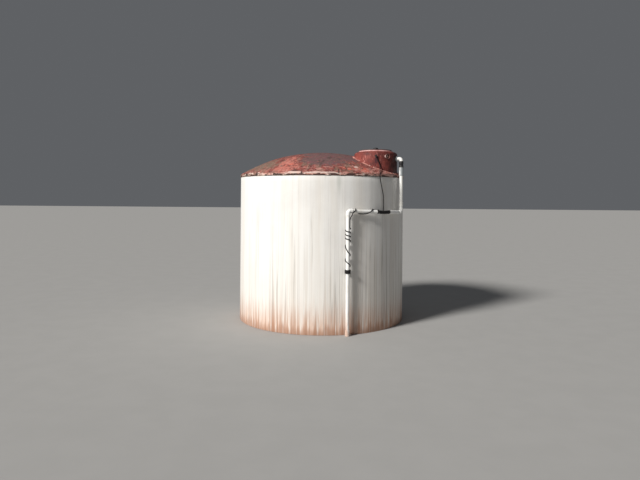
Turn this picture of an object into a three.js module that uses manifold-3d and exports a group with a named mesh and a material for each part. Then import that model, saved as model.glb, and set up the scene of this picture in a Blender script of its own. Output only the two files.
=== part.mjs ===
import * as THREE from "three";
import { mergeVertices } from "three/addons/utils/BufferGeometryUtils.js";
import Module from "manifold-3d";

// A ground-standing water storage tank of moulded glass fibre, with a low domed roof, a manway
// neck at the roof's edge, and a plastic fill pipe with a float cable wound round it.
// Millimetres. The origin is the centre of the tank's underside, and +Z is up.
// Azimuths are counted round the tank in degrees, from -Y towards +X.

const wasm = await Module();
wasm.setup();

// Driving dimensions of the tank
const tankRadius = 1220;
const wallTopZ = 2085;
const shellThickness = 8;
const floorThickness = 10;
const wallSegmentCount = 12;
const gap = 0.3;

// Driving dimensions of the domed roof
const domeSides = 60;
const skirtTopZ = 2126;
const domeEdgeZ = 2130;
const domeRise = 340;
const domePower = 2.15;
const kneeInset = 12;
const rimBandThickness = 4;
const rimBandTopZ = 2122;
const rimBandCount = 4;

// Driving dimensions of the manway neck and its lid
const neckSides = 36;
const neckAzimuth = 58;
const neckOffset = 904;
const neckRadius = 305;
const shoulderZ = 2412;
const neckTopZ = 2450;
const flangeOuterRadius = 240;
const flangeInnerRadius = 224;
const manholeRadius = 289;
const jointBandWidth = 32;
const jointBandThickness = 10;
const lidRimHeight = 14;
const lidCrownRadius = 229;
const lidHeight = 30;
const lidRecessRadius = 206;
const lidRecessDepth = 10;
const knobStemRadius = 16;
const knobRadius = 34;
const knobHeight = 36;
const knobSides = 16;

// Driving dimensions of the fill pipe and its fittings
const pipeSides = 18;
const pipeRadius = 24.15;
const fittingRadius = 30.5;
const cornerElbow = { radius: 28, bend: 33, arm: 60, socketRadius: fittingRadius };
const inletElbow = { radius: 25.6, bend: 29, arm: 34, socketRadius: 28 };
const pipeOffset = 1280;
const upperRiserAzimuth = 60.3;
const hoseRightAzimuth = 45.6;
const hoseLeftAzimuth = 35;
const lowerRiserAzimuth = 15.5;
const inletZ = 2350;
const rightCornerZ = 1599;
const hoseRightZ = 1606;
const hoseLeftZ = 1611;
const leftCornerZ = 1624;
const unionLength = 88;
const unionNutRadius = 31;
const unionWaistRadius = 26.5;
const upperCouplingLength = 115;
const collarZ = 1712;
const collarLength = 48;
const collarRadius = 29.5;
const footCouplingLength = 75;
const hoseRadius = 22.5;
const hoseSag = 4;
const clampWidth = 13;
const clampThickness = 2;
const clampScrewLength = 16;

// Driving dimensions of the float cable
const cableRadius = 6.5;
const glandAzimuth = -5;
const glandStandoff = 22;
const glandStubRadius = 11;
const glandNutRadius = 14;
const glandZ = 2376;
const glandRear = 15;
const glandReach = 20;
const cableSides = 8;
const windingRadius = 32;
const tapeTopZ = 860;
const tapeLength = 46;
const tapeRadius = 39.5;

// Places that follow from the driving dimensions
const up = new THREE.Vector3(0, 0, 1);
const down = new THREE.Vector3(0, 0, -1);
const neckCentre = aroundTank(neckAzimuth, neckOffset, 0);
const inletCorner = aroundTank(upperRiserAzimuth, pipeOffset, inletZ);
const rightCorner = aroundTank(upperRiserAzimuth, pipeOffset, rightCornerZ);
const leftCorner = aroundTank(lowerRiserAzimuth, pipeOffset, leftCornerZ);
const hoseRightEnd = aroundTank(hoseRightAzimuth, pipeOffset, hoseRightZ);
const hoseLeftEnd = aroundTank(hoseLeftAzimuth, pipeOffset, hoseLeftZ);
const towardsNeck = new THREE.Vector3(neckCentre.x - inletCorner.x, neckCentre.y - inletCorner.y, 0);
const inletDistance = towardsNeck.length();
towardsNeck.normalize();
const rightPipeDirection = hoseRightEnd.clone().sub(rightCorner).normalize();
const leftPipeDirection = leftCorner.clone().sub(hoseLeftEnd).normalize();

// Finishes
const whiteGelcoat = new THREE.MeshStandardMaterial({ color: 0xece6dc, roughness: 0.55, metalness: 0 });
const redGelcoat = new THREE.MeshStandardMaterial({ color: 0x8c3f36, roughness: 0.7, metalness: 0 });
const bareLaminate = new THREE.MeshStandardMaterial({ color: 0xc9a79a, roughness: 0.85, metalness: 0 });
const darkLid = new THREE.MeshStandardMaterial({ color: 0x4a2f30, roughness: 0.7, metalness: 0 });
const whitePlastic = new THREE.MeshStandardMaterial({ color: 0xeeeeea, roughness: 0.4, metalness: 0 });
const blackRubber = new THREE.MeshStandardMaterial({ color: 0x17171a, roughness: 0.75, metalness: 0 });
const blackPlastic = new THREE.MeshStandardMaterial({ color: 0x222226, roughness: 0.5, metalness: 0 });
const clampSteel = new THREE.MeshStandardMaterial({ color: 0xa8abae, roughness: 0.35, metalness: 0.9 });

const tank = new THREE.Group();

// Helpers

function radians(angle) {
  return THREE.MathUtils.degToRad(angle);
}

function aroundTank(azimuth, radius, z) {
  const angle = radians(azimuth);
  return new THREE.Vector3(radius * Math.sin(angle), -radius * Math.cos(angle), z);
}

function addPiece(name, geometry, material) {
  const mesh = new THREE.Mesh(geometry, material);
  mesh.name = name;
  tank.add(mesh);
  return mesh;
}

// Stands a piece that was made along +Z at a point, turned to point along a direction.
function aim(mesh, origin, direction) {
  mesh.position.copy(origin);
  mesh.quaternion.setFromUnitVectors(up, direction);
}

// A profile of radius and height pairs, run counter-clockwise and turned about +Z.
function turned(profile, sides) {
  const points = profile.map(([radius, height]) => new THREE.Vector2(radius, height));
  const geometry = new THREE.LatheGeometry(points, sides);
  geometry.rotateX(Math.PI / 2);
  return geometry;
}

function aimed(geometry, origin, direction) {
  geometry.applyQuaternion(new THREE.Quaternion().setFromUnitVectors(up, direction));
  geometry.translate(origin.x, origin.y, origin.z);
  return geometry;
}

function rodProfile(radius, from, to) {
  return [[0, from], [radius, from], [radius, to], [0, to]];
}

function swept(path, radius, sides, steps) {
  const section = new THREE.Shape().absarc(0, 0, radius, 0, 2 * Math.PI, false);
  return new THREE.ExtrudeGeometry(section, { extrudePath: path, steps, curveSegments: sides / 2 });
}

function toSolid(geometry) {
  const plain = geometry.clone();
  plain.deleteAttribute("normal");
  plain.deleteAttribute("uv");
  const merged = mergeVertices(plain, 0.001);
  const triVerts = new Uint32Array(merged.index.array);
  const vertProperties = merged.attributes.position.array;
  return new wasm.Manifold(new wasm.Mesh({ numProp: 3, vertProperties, triVerts }));
}

function toGeometry(solid) {
  const { vertProperties, triVerts } = solid.getMesh();
  const geometry = new THREE.BufferGeometry();
  geometry.setAttribute("position", new THREE.BufferAttribute(vertProperties, 3));
  geometry.setIndex(new THREE.BufferAttribute(triVerts, 1));
  geometry.computeVertexNormals();
  return geometry;
}

// Tank wall and floor

function buildWall() {
  const height = wallTopZ - floorThickness - gap;
  const step = (2 * Math.PI) / wallSegmentCount;
  const slit = gap / 2 / tankRadius;
  const cuts = { depth: height, bevelEnabled: false, curveSegments: 6 };
  for (let i = 0; i < wallSegmentCount; i += 1) {
    const from = i * step + slit;
    const to = (i + 1) * step - slit;
    const outline = new THREE.Shape();
    outline.absarc(0, 0, tankRadius, from, to, false);
    outline.absarc(0, 0, tankRadius - shellThickness, to, from, true);
    const geometry = new THREE.ExtrudeGeometry(outline, cuts);
    const name = `wall_segment_${String(i + 1).padStart(2, "0")}`;
    addPiece(name, geometry, whiteGelcoat).position.z = floorThickness + gap;
  }
}

function buildFloor() {
  const sides = 72;
  addPiece("tank_floor", turned(rodProfile(tankRadius, 0, floorThickness), sides), whiteGelcoat);
}

// Domed roof

function domeZ(radius) {
  return domeEdgeZ + domeRise * (1 - (radius / tankRadius) ** domePower);
}

// Radii at which the dome's curve is drawn, from the knee above the skirt to near the crown.
const domeRadii = [1208, 1155, 1080, 980, 860, 700, 500, 260];

// The whole volume under the roof's outer face, raised by a clearance.
function underDome(raise) {
  const side = [[0, 0], [tankRadius, 0], [tankRadius, skirtTopZ + raise]];
  const curve = domeRadii.map((radius) => [radius, domeZ(radius) + raise]);
  return toSolid(turned([...side, ...curve, [0, domeZ(0) + raise]], domeSides));
}

function buildDome() {
  const innerRadius = tankRadius - shellThickness;
  const outer = domeRadii.map((radius) => [radius, domeZ(radius)]);
  const inner = domeRadii.map((radius) => [radius - kneeInset, domeZ(radius) - kneeInset]).reverse();
  const skirt = [[innerRadius, wallTopZ + gap], [tankRadius, wallTopZ + gap], [tankRadius, skirtTopZ]];
  const profile = [[0, domeZ(0) - kneeInset], ...inner, ...skirt, ...outer, [0, domeZ(0)]];
  const shell = toSolid(turned(profile, domeSides));
  const hole = turned(rodProfile(manholeRadius, wallTopZ, neckTopZ), neckSides);
  hole.translate(neckCentre.x, neckCentre.y, 0);
  addPiece("dome_roof", toGeometry(shell.subtract(toSolid(hole))), redGelcoat);
}

// The strips of laminate that bond the roof's skirt to the wall's top edge.
function buildRimBands() {
  const step = (2 * Math.PI) / rimBandCount;
  const inner = tankRadius + gap;
  const outer = inner + rimBandThickness;
  const slit = gap / 2 / inner;
  const cuts = { depth: rimBandTopZ - wallTopZ, bevelEnabled: false, curveSegments: 18 };
  for (let i = 0; i < rimBandCount; i += 1) {
    const from = (i + 0.5) * step + slit;
    const to = (i + 1.5) * step - slit;
    const outline = new THREE.Shape();
    outline.absarc(0, 0, outer, from, to, false);
    outline.absarc(0, 0, inner, to, from, true);
    const geometry = new THREE.ExtrudeGeometry(outline, cuts);
    addPiece(`rim_band_${i + 1}`, geometry, bareLaminate).position.z = wallTopZ;
  }
}

// Manway neck

// The shoulder is a quarter of an ellipse from the neck's side to the flange that the lid rests on.
function shoulderCurve(inset) {
  const points = [];
  const steps = 4;
  for (let i = 0; i <= steps; i += 1) {
    const angle = (i / steps) * (Math.PI / 2);
    const radius = flangeOuterRadius + (neckRadius - flangeOuterRadius) * Math.cos(angle);
    const height = shoulderZ + (neckTopZ - shoulderZ) * Math.sin(angle);
    points.push([radius - inset * Math.cos(angle), height - inset * Math.sin(angle)]);
  }
  return points;
}

// The whole volume inside the neck's outer face, grown by a clearance.
function insideNeck(grow) {
  const curve = shoulderCurve(0).map(([radius, height]) => [radius + grow, height]);
  const bottom = wallTopZ;
  const top = neckTopZ + lidRimHeight;
  const foot = [[0, bottom], [neckRadius + grow, bottom]];
  const profile = [...foot, ...curve, [flangeOuterRadius + grow, top], [0, top]];
  const geometry = turned(profile, neckSides);
  geometry.translate(neckCentre.x, neckCentre.y, 0);
  return toSolid(geometry);
}

function buildNeck() {
  const inner = neckRadius - shellThickness;
  const top = shoulderZ - gap;
  const bottom = wallTopZ;
  const ring = [[inner, bottom], [neckRadius, bottom], [neckRadius, top], [inner, top], [inner, bottom]];
  const tube = turned(ring, neckSides);
  tube.translate(neckCentre.x, neckCentre.y, 0);
  const bore = (pipeRadius + gap) / Math.cos(Math.PI / pipeSides);
  const passage = aimed(turned(rodProfile(bore, 0, inletDistance), pipeSides), inletCorner, towardsNeck);
  const wall = toSolid(tube).subtract(underDome(gap)).subtract(toSolid(passage));
  addPiece("neck_wall", toGeometry(wall), redGelcoat);
}

function buildShoulder() {
  const outer = shoulderCurve(0);
  const lining = shoulderCurve(shellThickness).reverse();
  const lip = [[flangeInnerRadius, neckTopZ], [flangeInnerRadius, neckTopZ - shellThickness]];
  const start = lining[lining.length - 1];
  const profile = [start, ...outer, ...lip, ...lining];
  const geometry = turned(profile, neckSides);
  geometry.translate(neckCentre.x, neckCentre.y, 0);
  addPiece("neck_shoulder", toGeometry(toSolid(geometry).subtract(underDome(gap))), redGelcoat);
}

// The raised strip of laminate where the neck was bonded to the roof.
function buildJointBand() {
  const strip = insideNeck(jointBandWidth).subtract(insideNeck(gap));
  const lying = strip.intersect(underDome(jointBandThickness)).subtract(underDome(gap));
  addPiece("neck_joint_band", toGeometry(lying), bareLaminate);
}

function buildLid() {
  const bottom = neckTopZ + gap;
  const rimEdge = 4;
  const profile = [
    [0, lidRecessDepth],
    [lidRecessRadius, lidRecessDepth],
    [lidRecessRadius, 0],
    [flangeOuterRadius, 0],
    [flangeOuterRadius, lidRimHeight - rimEdge],
    [flangeOuterRadius - rimEdge, lidRimHeight],
    [lidCrownRadius, lidRimHeight],
    [lidCrownRadius - rimEdge, lidHeight - rimEdge],
    [lidCrownRadius - 3 * rimEdge, lidHeight - rimEdge / 2],
    [knobRadius, lidHeight],
    [0, lidHeight],
  ];
  const lid = addPiece("manway_lid", turned(profile, neckSides), darkLid);
  lid.position.copy(onNeckAxis(bottom));
  const knob = [
    [0, 0],
    [knobStemRadius, 0],
    [knobStemRadius, knobHeight * 0.3],
    [knobRadius, knobHeight * 0.45],
    [knobRadius, knobHeight * 0.7],
    [knobRadius * 0.8, knobHeight * 0.9],
    [knobRadius * 0.45, knobHeight],
    [0, knobHeight],
  ];
  const handle = addPiece("lid_knob", turned(knob, knobSides), blackPlastic);
  handle.position.copy(onNeckAxis(bottom + lidHeight + gap));
}

// Fittings in the neck's side

// The direction straight out of the neck at an azimuth counted round the neck's own axis.
function outOfNeck(azimuth) {
  return aroundTank(azimuth, 1, 0);
}

function onNeckAxis(z) {
  return new THREE.Vector3(neckCentre.x, neckCentre.y, z);
}

// A flange outside the neck and a nut inside it, on one stub through the wall.
function buildInletFitting() {
  const flangeRadius = 37;
  const flangeDepth = 16;
  const flangeRoot = 10;
  const nutRadius = 36;
  const nutDepth = 14;
  const nutStandoff = 4;
  const nutSides = 6;
  const stubEnd = 8;
  const outward = towardsNeck.clone().negate();
  const axis = onNeckAxis(inletZ);
  const rod = (radius, from, to, sides) => {
    return toSolid(aimed(turned(rodProfile(radius, from, to), sides), axis, outward));
  };
  const face = neckRadius + flangeDepth;
  const nutFace = neckRadius - shellThickness - nutStandoff;
  const flange = rod(flangeRadius, neckRadius - flangeRoot, face, pipeSides);
  const nut = rod(nutRadius, nutFace - nutDepth, nutFace, nutSides);
  const stub = rod(pipeRadius, nutFace - nutDepth - stubEnd, face, pipeSides);
  const fitting = flange.subtract(insideNeck(gap)).add(nut).add(stub);
  addPiece("inlet_fitting", toGeometry(fitting), whitePlastic);
  const nippleShape = rodProfile(pipeRadius, face + gap, inletDistance - inletElbow.arm - gap);
  aim(addPiece("inlet_nipple", turned(nippleShape, pipeSides), whitePlastic), axis, outward);
}

// A short open socket, pointing out of the neck.
function buildVentSocket() {
  const ventAzimuth = 24;
  const ventZ = 2372;
  const ventRadius = 35;
  const boreRadius = 29;
  const length = 36;
  const boreDepth = 30;
  const lip = 20;
  const root = 20;
  const waist = 3;
  const outward = outOfNeck(ventAzimuth);
  const axis = onNeckAxis(ventZ);
  const face = neckRadius + length;
  const profile = [
    [0, neckRadius - root],
    [ventRadius - waist, neckRadius - root],
    [ventRadius - waist, face - lip],
    [ventRadius, face - lip],
    [ventRadius, face],
    [boreRadius, face],
    [boreRadius - 1, face - boreDepth],
    [0, face - boreDepth],
  ];
  const body = toSolid(aimed(turned(profile, pipeSides), axis, outward));
  addPiece("vent_socket", toGeometry(body.subtract(insideNeck(gap))), whitePlastic);
}

// An angled gland: a stub out of the neck, and a nut that points down along the cable.
function buildCableGland() {
  const root = 10;
  const sides = 12;
  const edge = 4;
  const end = neckRadius + glandStandoff + glandStubRadius - edge;
  const stubProfile = rodProfile(glandStubRadius, neckRadius - root, end);
  const stub = aimed(turned(stubProfile, sides), onNeckAxis(glandZ), outOfNeck(glandAzimuth));
  const nutProfile = [
    [0, -glandRear],
    [glandNutRadius - edge, -glandRear],
    [glandNutRadius, edge - glandRear],
    [glandNutRadius, glandReach - edge],
    [glandNutRadius - edge, glandReach],
    [0, glandReach],
  ];
  const nut = aimed(turned(nutProfile, sides), glandElbow, cableWay);
  const gland = toSolid(stub).add(toSolid(nut)).subtract(insideNeck(gap));
  addPiece("cable_gland", toGeometry(gland), blackPlastic);
}

// Fill pipe

// A right-angled bend with a socket at each end. The directions point out of the sockets.
function elbow(corner, directionA, directionB, size) {
  const bulge = 0.5523;
  const steps = 6;
  const start = corner.clone().addScaledVector(directionA, size.bend);
  const end = corner.clone().addScaledVector(directionB, size.bend);
  const first = start.clone().addScaledVector(directionA, -size.bend * bulge);
  const second = end.clone().addScaledVector(directionB, -size.bend * bulge);
  const path = new THREE.CubicBezierCurve3(start, first, second, end);
  const bend = toSolid(swept(path, size.radius, pipeSides, steps));
  const socketA = toSolid(aimed(turned(socketProfile(size), pipeSides), corner, directionA));
  const socketB = toSolid(aimed(turned(socketProfile(size), pipeSides), corner, directionB));
  return toGeometry(bend.add(socketA).add(socketB));
}

function socketProfile({ radius, bend, arm, socketRadius }) {
  const start = bend - 1;
  const shoulder = bend + 2;
  return [[0, start], [radius, start], [socketRadius, shoulder], [socketRadius, arm], [0, arm]];
}

function couplingProfile(length) {
  const edge = 2.5;
  return [
    [0, 0],
    [fittingRadius - edge, 0],
    [fittingRadius, edge],
    [fittingRadius, length - edge],
    [fittingRadius - edge, length],
    [0, length],
  ];
}

function pipe(name, from, to) {
  const direction = to.clone().sub(from);
  const profile = rodProfile(pipeRadius, gap, direction.length() - gap);
  aim(addPiece(name, turned(profile, pipeSides), whitePlastic), from, direction.normalize());
}

function buildUpperRiser() {
  addPiece("inlet_elbow", elbow(inletCorner, down, towardsNeck, inletElbow), whitePlastic);
  const unionTop = inletZ - inletElbow.arm - gap;
  const nutSides = 8;
  const unionProfile = [
    [0, 0],
    [fittingRadius, 0],
    [fittingRadius, unionLength * 0.3],
    [unionWaistRadius, unionLength * 0.34],
    [unionWaistRadius, unionLength * 0.5],
    [fittingRadius, unionLength * 0.54],
    [fittingRadius, unionLength],
    [0, unionLength],
  ];
  const nut = turned(rodProfile(unionNutRadius, unionLength * 0.56, unionLength * 0.9), nutSides);
  const union = toGeometry(toSolid(turned(unionProfile, pipeSides)).add(toSolid(nut)));
  const unionBottom = inletCorner.clone().setZ(unionTop - unionLength);
  addPiece("pipe_union", union, blackPlastic).position.copy(unionBottom);
  const couplingTop = unionBottom.z - gap;
  const couplingBottom = inletCorner.clone().setZ(couplingTop - upperCouplingLength);
  const couplingShape = turned(couplingProfile(upperCouplingLength), pipeSides);
  addPiece("upper_coupling", couplingShape, whitePlastic).position.copy(couplingBottom);
  const riserBottom = rightCorner.clone().setZ(rightCornerZ + cornerElbow.arm);
  pipe("upper_riser_pipe", couplingBottom, riserBottom);
  const bore = pipeRadius + gap;
  const collar = [
    [bore, 0],
    [collarRadius, 0],
    [collarRadius, collarLength],
    [bore, collarLength],
    [bore, 0],
  ];
  const collarBottom = rightCorner.clone().setZ(collarZ - collarLength / 2);
  addPiece("riser_collar", turned(collar, pipeSides), whitePlastic).position.copy(collarBottom);
  addPiece("right_elbow", elbow(rightCorner, up, rightPipeDirection, cornerElbow), whitePlastic);
}

// The hose bends between the two straight pipes and sags a little in the middle.
class HosePath extends THREE.Curve {
  getPoint(share, target = new THREE.Vector3()) {
    const pull = hoseRightEnd.distanceTo(hoseLeftEnd) / 3;
    const first = hoseRightEnd.clone().addScaledVector(rightPipeDirection, pull);
    const second = hoseLeftEnd.clone().addScaledVector(leftPipeDirection, -pull);
    const flat = new THREE.CubicBezierCurve3(hoseRightEnd, first, second, hoseLeftEnd);
    flat.getPoint(share, target);
    target.z -= hoseSag * Math.sin(Math.PI * share) ** 2;
    return target;
  }
}

const hosePath = new HosePath();

function buildHose() {
  const steps = 12;
  addPiece("rubber_hose", swept(hosePath, hoseRadius, pipeSides, steps), blackRubber);
  const inner = hoseRadius + 2 * gap;
  const outer = inner + clampThickness;
  const half = clampWidth / 2;
  const ring = [[inner, -half], [outer, -half], [outer, half], [inner, half], [inner, -half]];
  const clampShares = { hose_clamp_right: 0.07, hose_clamp_left: 0.93 };
  const housingWidth = clampWidth - clampThickness;
  for (const [name, share] of Object.entries(clampShares)) {
    const band = toSolid(turned(ring, pipeSides));
    const housing = new THREE.BoxGeometry(clampScrewLength / 2, clampScrewLength, housingWidth);
    housing.translate(outer + clampThickness, 0, 0);
    const clamp = addPiece(name, toGeometry(band.add(toSolid(housing))), clampSteel);
    aim(clamp, hosePath.getPoint(share), hosePath.getTangent(share));
  }
}

function buildCrossPipes() {
  const rightStart = rightCorner.clone().addScaledVector(rightPipeDirection, cornerElbow.arm);
  const leftEnd = leftCorner.clone().addScaledVector(leftPipeDirection, -cornerElbow.arm);
  pipe("cross_pipe_right", rightStart, hoseRightEnd);
  pipe("cross_pipe_left", hoseLeftEnd, leftEnd);
}

function buildLowerRiser() {
  const towardsHose = leftPipeDirection.clone().negate();
  addPiece("left_elbow", elbow(leftCorner, down, towardsHose, cornerElbow), whitePlastic);
  const foot = leftCorner.clone().setZ(footCouplingLength);
  pipe("lower_riser_pipe", leftCorner.clone().setZ(leftCornerZ - cornerElbow.arm), foot);
  const couplingShape = turned(couplingProfile(footCouplingLength), pipeSides);
  addPiece("foot_coupling", couplingShape, whitePlastic).position.copy(foot).setZ(0);
}

// Float cable

// From the gland down the neck's side, over the roof's edge and down the wall: azimuth, radius
// and height of each point.
const cableRoute = [
  [44.7, 1121.5, 2262],
  [44.8, 1130, 2234],
  [44.0, 1143, 2208],
  [42.9, 1162, 2186.5],
  [41.7, 1185, 2170],
  [40.5, 1208, 2156],
  [39.6, 1228, 2137],
  [39.1, 1238.5, 2112],
  [39.0, 1242.5, 2082],
  [39.1, 1243, 2050],
  [39.9, 1242, 1990],
  [41.0, 1241.5, 1910],
  [41.9, 1243, 1830],
  [41.9, 1248, 1750],
  [41.6, 1254.5, 1690],
];

// Then behind the hose to its left end: share of the hose's length, and angle and distance from
// its axis. Angles round the pipes are in degrees from the top, positive over the front.
const cableOnHose = [
  [0.395, -38, 50],
  [0.41, -57, 36.5],
  [0.436, -82, 32.5],
  [0.478, -102, 33.5],
  [0.535, -115, 35],
  [0.61, -119, 35.5],
  [0.69, -112, 34],
  [0.77, -96, 33],
  [0.84, -76, 33],
  [0.9, -73, 33],
  [0.95, -70.5, 33],
  [0.985, -66, 32.4],
];

// The turn round the left cross pipe: distance from the hose, and angle round the pipe. It comes
// from behind, crosses the front, runs along the underside and then goes round once more.
const crossPipeTurn = [
  [6, -58],
  [14, -52],
  [30, -42],
  [50, -28],
  [66, -6],
  [80, 28],
  [97, 62],
  [112, 88],
  [134, 115],
  [170, 150],
  [200, 180],
  [236, 190],
  [264, 207],
  [294, 268],
  [320, 345],
  [342, 425],
  [351, 450],
];

// The gland's elbow, and the way that the cable leaves it, straight to the route's first point.
const glandElbow = onNeckAxis(glandZ);
glandElbow.addScaledVector(outOfNeck(glandAzimuth), neckRadius + glandStandoff);
const cableWay = aroundTank(...cableRoute[0]).sub(glandElbow).normalize();

// A point beside a pipe: on its axis, then a distance off it at an angle from the top.
function besidePipe(onAxis, along, degrees, distance) {
  const outward = new THREE.Vector3().crossVectors(along, down).normalize();
  const over = new THREE.Vector3().crossVectors(along, outward).normalize();
  const angle = radians(degrees);
  const point = onAxis.clone().addScaledVector(over, distance * Math.cos(angle));
  return point.addScaledVector(outward, distance * Math.sin(angle));
}

function onCrossPipe(along, degrees) {
  const onAxis = hoseLeftEnd.clone().addScaledVector(leftPipeDirection, along);
  return besidePipe(onAxis, leftPipeDirection, degrees, windingRadius);
}

function buildFloatCable() {
  const steps = 72;
  const seam = 1;
  const exit = glandElbow.clone().addScaledVector(cableWay, glandReach + gap);
  const route = cableRoute.map(([azimuth, radius, z]) => aroundTank(azimuth, radius, z));
  const halfway = exit.clone().lerp(route[0], 0.5);
  const behind = cableOnHose.map(([share, degrees, distance]) => {
    return besidePipe(hosePath.getPoint(share), hosePath.getTangent(share), degrees, distance);
  });
  const [along, degrees] = crossPipeTurn[0];
  const end = onCrossPipe(along - seam, degrees - THREE.MathUtils.radToDeg(seam / windingRadius));
  const path = new THREE.CatmullRomCurve3([exit, halfway, ...route, ...behind, end]);
  addPiece("float_cable", swept(path, cableRadius, cableSides, steps), blackRubber);
}

// Then it hangs across the corner to the riser: offsets from the riser's axis, and height.
const cableSlack = [
  [61, -15, 1598],
  [50, -17, 1571],
  [34, -14, 1543],
  [24, -21.5, 1515],
  [22, -23.3, 1490],
  [22, -23.3, 1440],
];

// Values between the stops of a list, close enough together to bend round a pipe.
function betweenStops(stops, turn, largestTurn) {
  const values = [];
  for (let i = 1; i < stops.length; i += 1) {
    const [a0, b0] = stops[i - 1];
    const [a1, b1] = stops[i];
    const change = Math.abs(turn(stops[i]) - turn(stops[i - 1]));
    const steps = Math.max(1, Math.round(change / largestTurn));
    for (let j = 0; j < steps; j += 1) {
      const share = j / steps;
      values.push([a0 + (a1 - a0) * share, b0 + (b1 - b0) * share]);
    }
  }
  values.push(stops[stops.length - 1]);
  return values;
}

function buildCableOnCrossPipe() {
  const steps = 60;
  const largestTurn = 24;
  const stops = betweenStops(crossPipeTurn, (stop) => stop[1], largestTurn);
  const points = stops.map(([along, degrees]) => onCrossPipe(along, degrees));
  for (const [x, y, z] of cableSlack) {
    points.push(new THREE.Vector3(leftCorner.x + x, leftCorner.y + y, z));
  }
  const path = new THREE.CatmullRomCurve3(points);
  addPiece("cable_on_cross_pipe", swept(path, cableRadius, cableSides, steps), blackRubber);
}

// Turns and heights of the cable on the riser: turns are counted from the riser's right side,
// through its back.
const riserTurns = [
  [-0.13, 1440 - gap],
  [-0.13, 1412],
  [-0.05, 1395],
  [1, 1345],
  [2, 1292],
  [2.75, 1258],
  [3, 1238],
  [3.5, 1167],
  [3.75, 1092],
  [4, 1052],
  [4.5, 986],
  [4.75, 950],
  [5, 912],
  [5.2, 888],
  [5.25, 876],
  [5.25, 868],
  [5.25, tapeTopZ + 2 * gap],
];

function buildCableOnRiser() {
  const steps = 80;
  const largestTurn = 0.1;
  const stops = betweenStops(riserTurns, (stop) => stop[0], largestTurn);
  const path = new THREE.CatmullRomCurve3(stops.map(([turn, z]) => onRiser(turn, z)));
  addPiece("cable_on_riser", swept(path, cableRadius, cableSides, steps), blackRubber);
  const bore = pipeRadius + gap;
  const sleeve = [
    [bore, 0],
    [tapeRadius, 0],
    [tapeRadius, tapeLength],
    [bore, tapeLength],
    [bore, 0],
  ];
  const tape = addPiece("cable_tape", turned(sleeve, pipeSides), blackRubber);
  tape.position.copy(leftCorner).setZ(tapeTopZ - tapeLength);
}

function onRiser(turn, z) {
  const angle = turn * 2 * Math.PI;
  const x = leftCorner.x + windingRadius * Math.cos(angle);
  const y = leftCorner.y + windingRadius * Math.sin(angle);
  return new THREE.Vector3(x, y, z);
}

buildWall();
buildFloor();
buildDome();
buildRimBands();
buildNeck();
buildShoulder();
buildJointBand();
buildLid();
buildInletFitting();
buildVentSocket();
buildCableGland();
buildUpperRiser();
buildHose();
buildCrossPipes();
buildLowerRiser();
buildFloatCable();
buildCableOnCrossPipe();
buildCableOnRiser();

export default tank;
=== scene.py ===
import bpy
import math
from mathutils import Matrix, Vector, noise


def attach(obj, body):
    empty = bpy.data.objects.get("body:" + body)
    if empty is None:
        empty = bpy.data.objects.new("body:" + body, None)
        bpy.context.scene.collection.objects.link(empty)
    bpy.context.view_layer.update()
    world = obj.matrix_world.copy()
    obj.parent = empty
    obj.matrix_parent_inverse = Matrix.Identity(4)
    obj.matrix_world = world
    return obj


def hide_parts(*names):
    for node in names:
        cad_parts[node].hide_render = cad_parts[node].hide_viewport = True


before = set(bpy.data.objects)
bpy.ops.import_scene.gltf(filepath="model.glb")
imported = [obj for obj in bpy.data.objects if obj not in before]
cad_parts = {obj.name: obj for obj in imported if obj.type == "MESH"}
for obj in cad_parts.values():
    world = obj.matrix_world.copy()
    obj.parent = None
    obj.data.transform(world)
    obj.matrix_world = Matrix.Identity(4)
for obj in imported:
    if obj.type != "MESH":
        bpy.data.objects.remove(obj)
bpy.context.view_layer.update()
print("frame loaded:", len(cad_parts), "nodes")

# Metres. Azimuths are counted round the tank in degrees, from -Y towards +X.
up = Vector((0, 0, 1))
down = Vector((0, 0, -1))
hair = 0.0003            # the clearance between neighbouring pieces


# modelling helpers

def clearSelection():
    if bpy.context.object and bpy.context.object.mode != "OBJECT":
        bpy.ops.object.mode_set(mode="OBJECT")
    bpy.ops.object.select_all(action="DESELECT")


def pick(piece):
    clearSelection()
    piece.select_set(True)
    bpy.context.view_layer.objects.active = piece


def around(azimuth, radius, z):
    angle = math.radians(azimuth)
    return Vector((radius * math.sin(angle), -radius * math.cos(angle), z))


def rename(piece, name):
    piece.name = name
    piece.data.name = name
    return piece


def place(piece, where=(0, 0, 0), direction=None):
    # stands a piece made along +Z at a point, turned to a direction, and writes that into its mesh
    turn = Matrix.Identity(4)
    if direction is not None:
        turn = up.rotation_difference(Vector(direction)).to_matrix().to_4x4()
    piece.matrix_world = Matrix.Translation(Vector(where)) @ turn
    pick(piece)
    bpy.ops.object.transform_apply(location=True, rotation=True, scale=True)
    return piece


def tidyMesh(distance=0.00002):
    # in edit mode: closes poles and seams, and turns every face outwards
    bpy.ops.mesh.select_all(action="SELECT")
    bpy.ops.mesh.remove_doubles(threshold=distance)
    bpy.ops.mesh.normals_make_consistent(inside=False)
    bpy.ops.object.mode_set(mode="OBJECT")


def smooth(piece, degrees=35):
    pick(piece)
    bpy.ops.object.shade_smooth_by_angle(angle=math.radians(degrees))
    return piece


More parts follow.
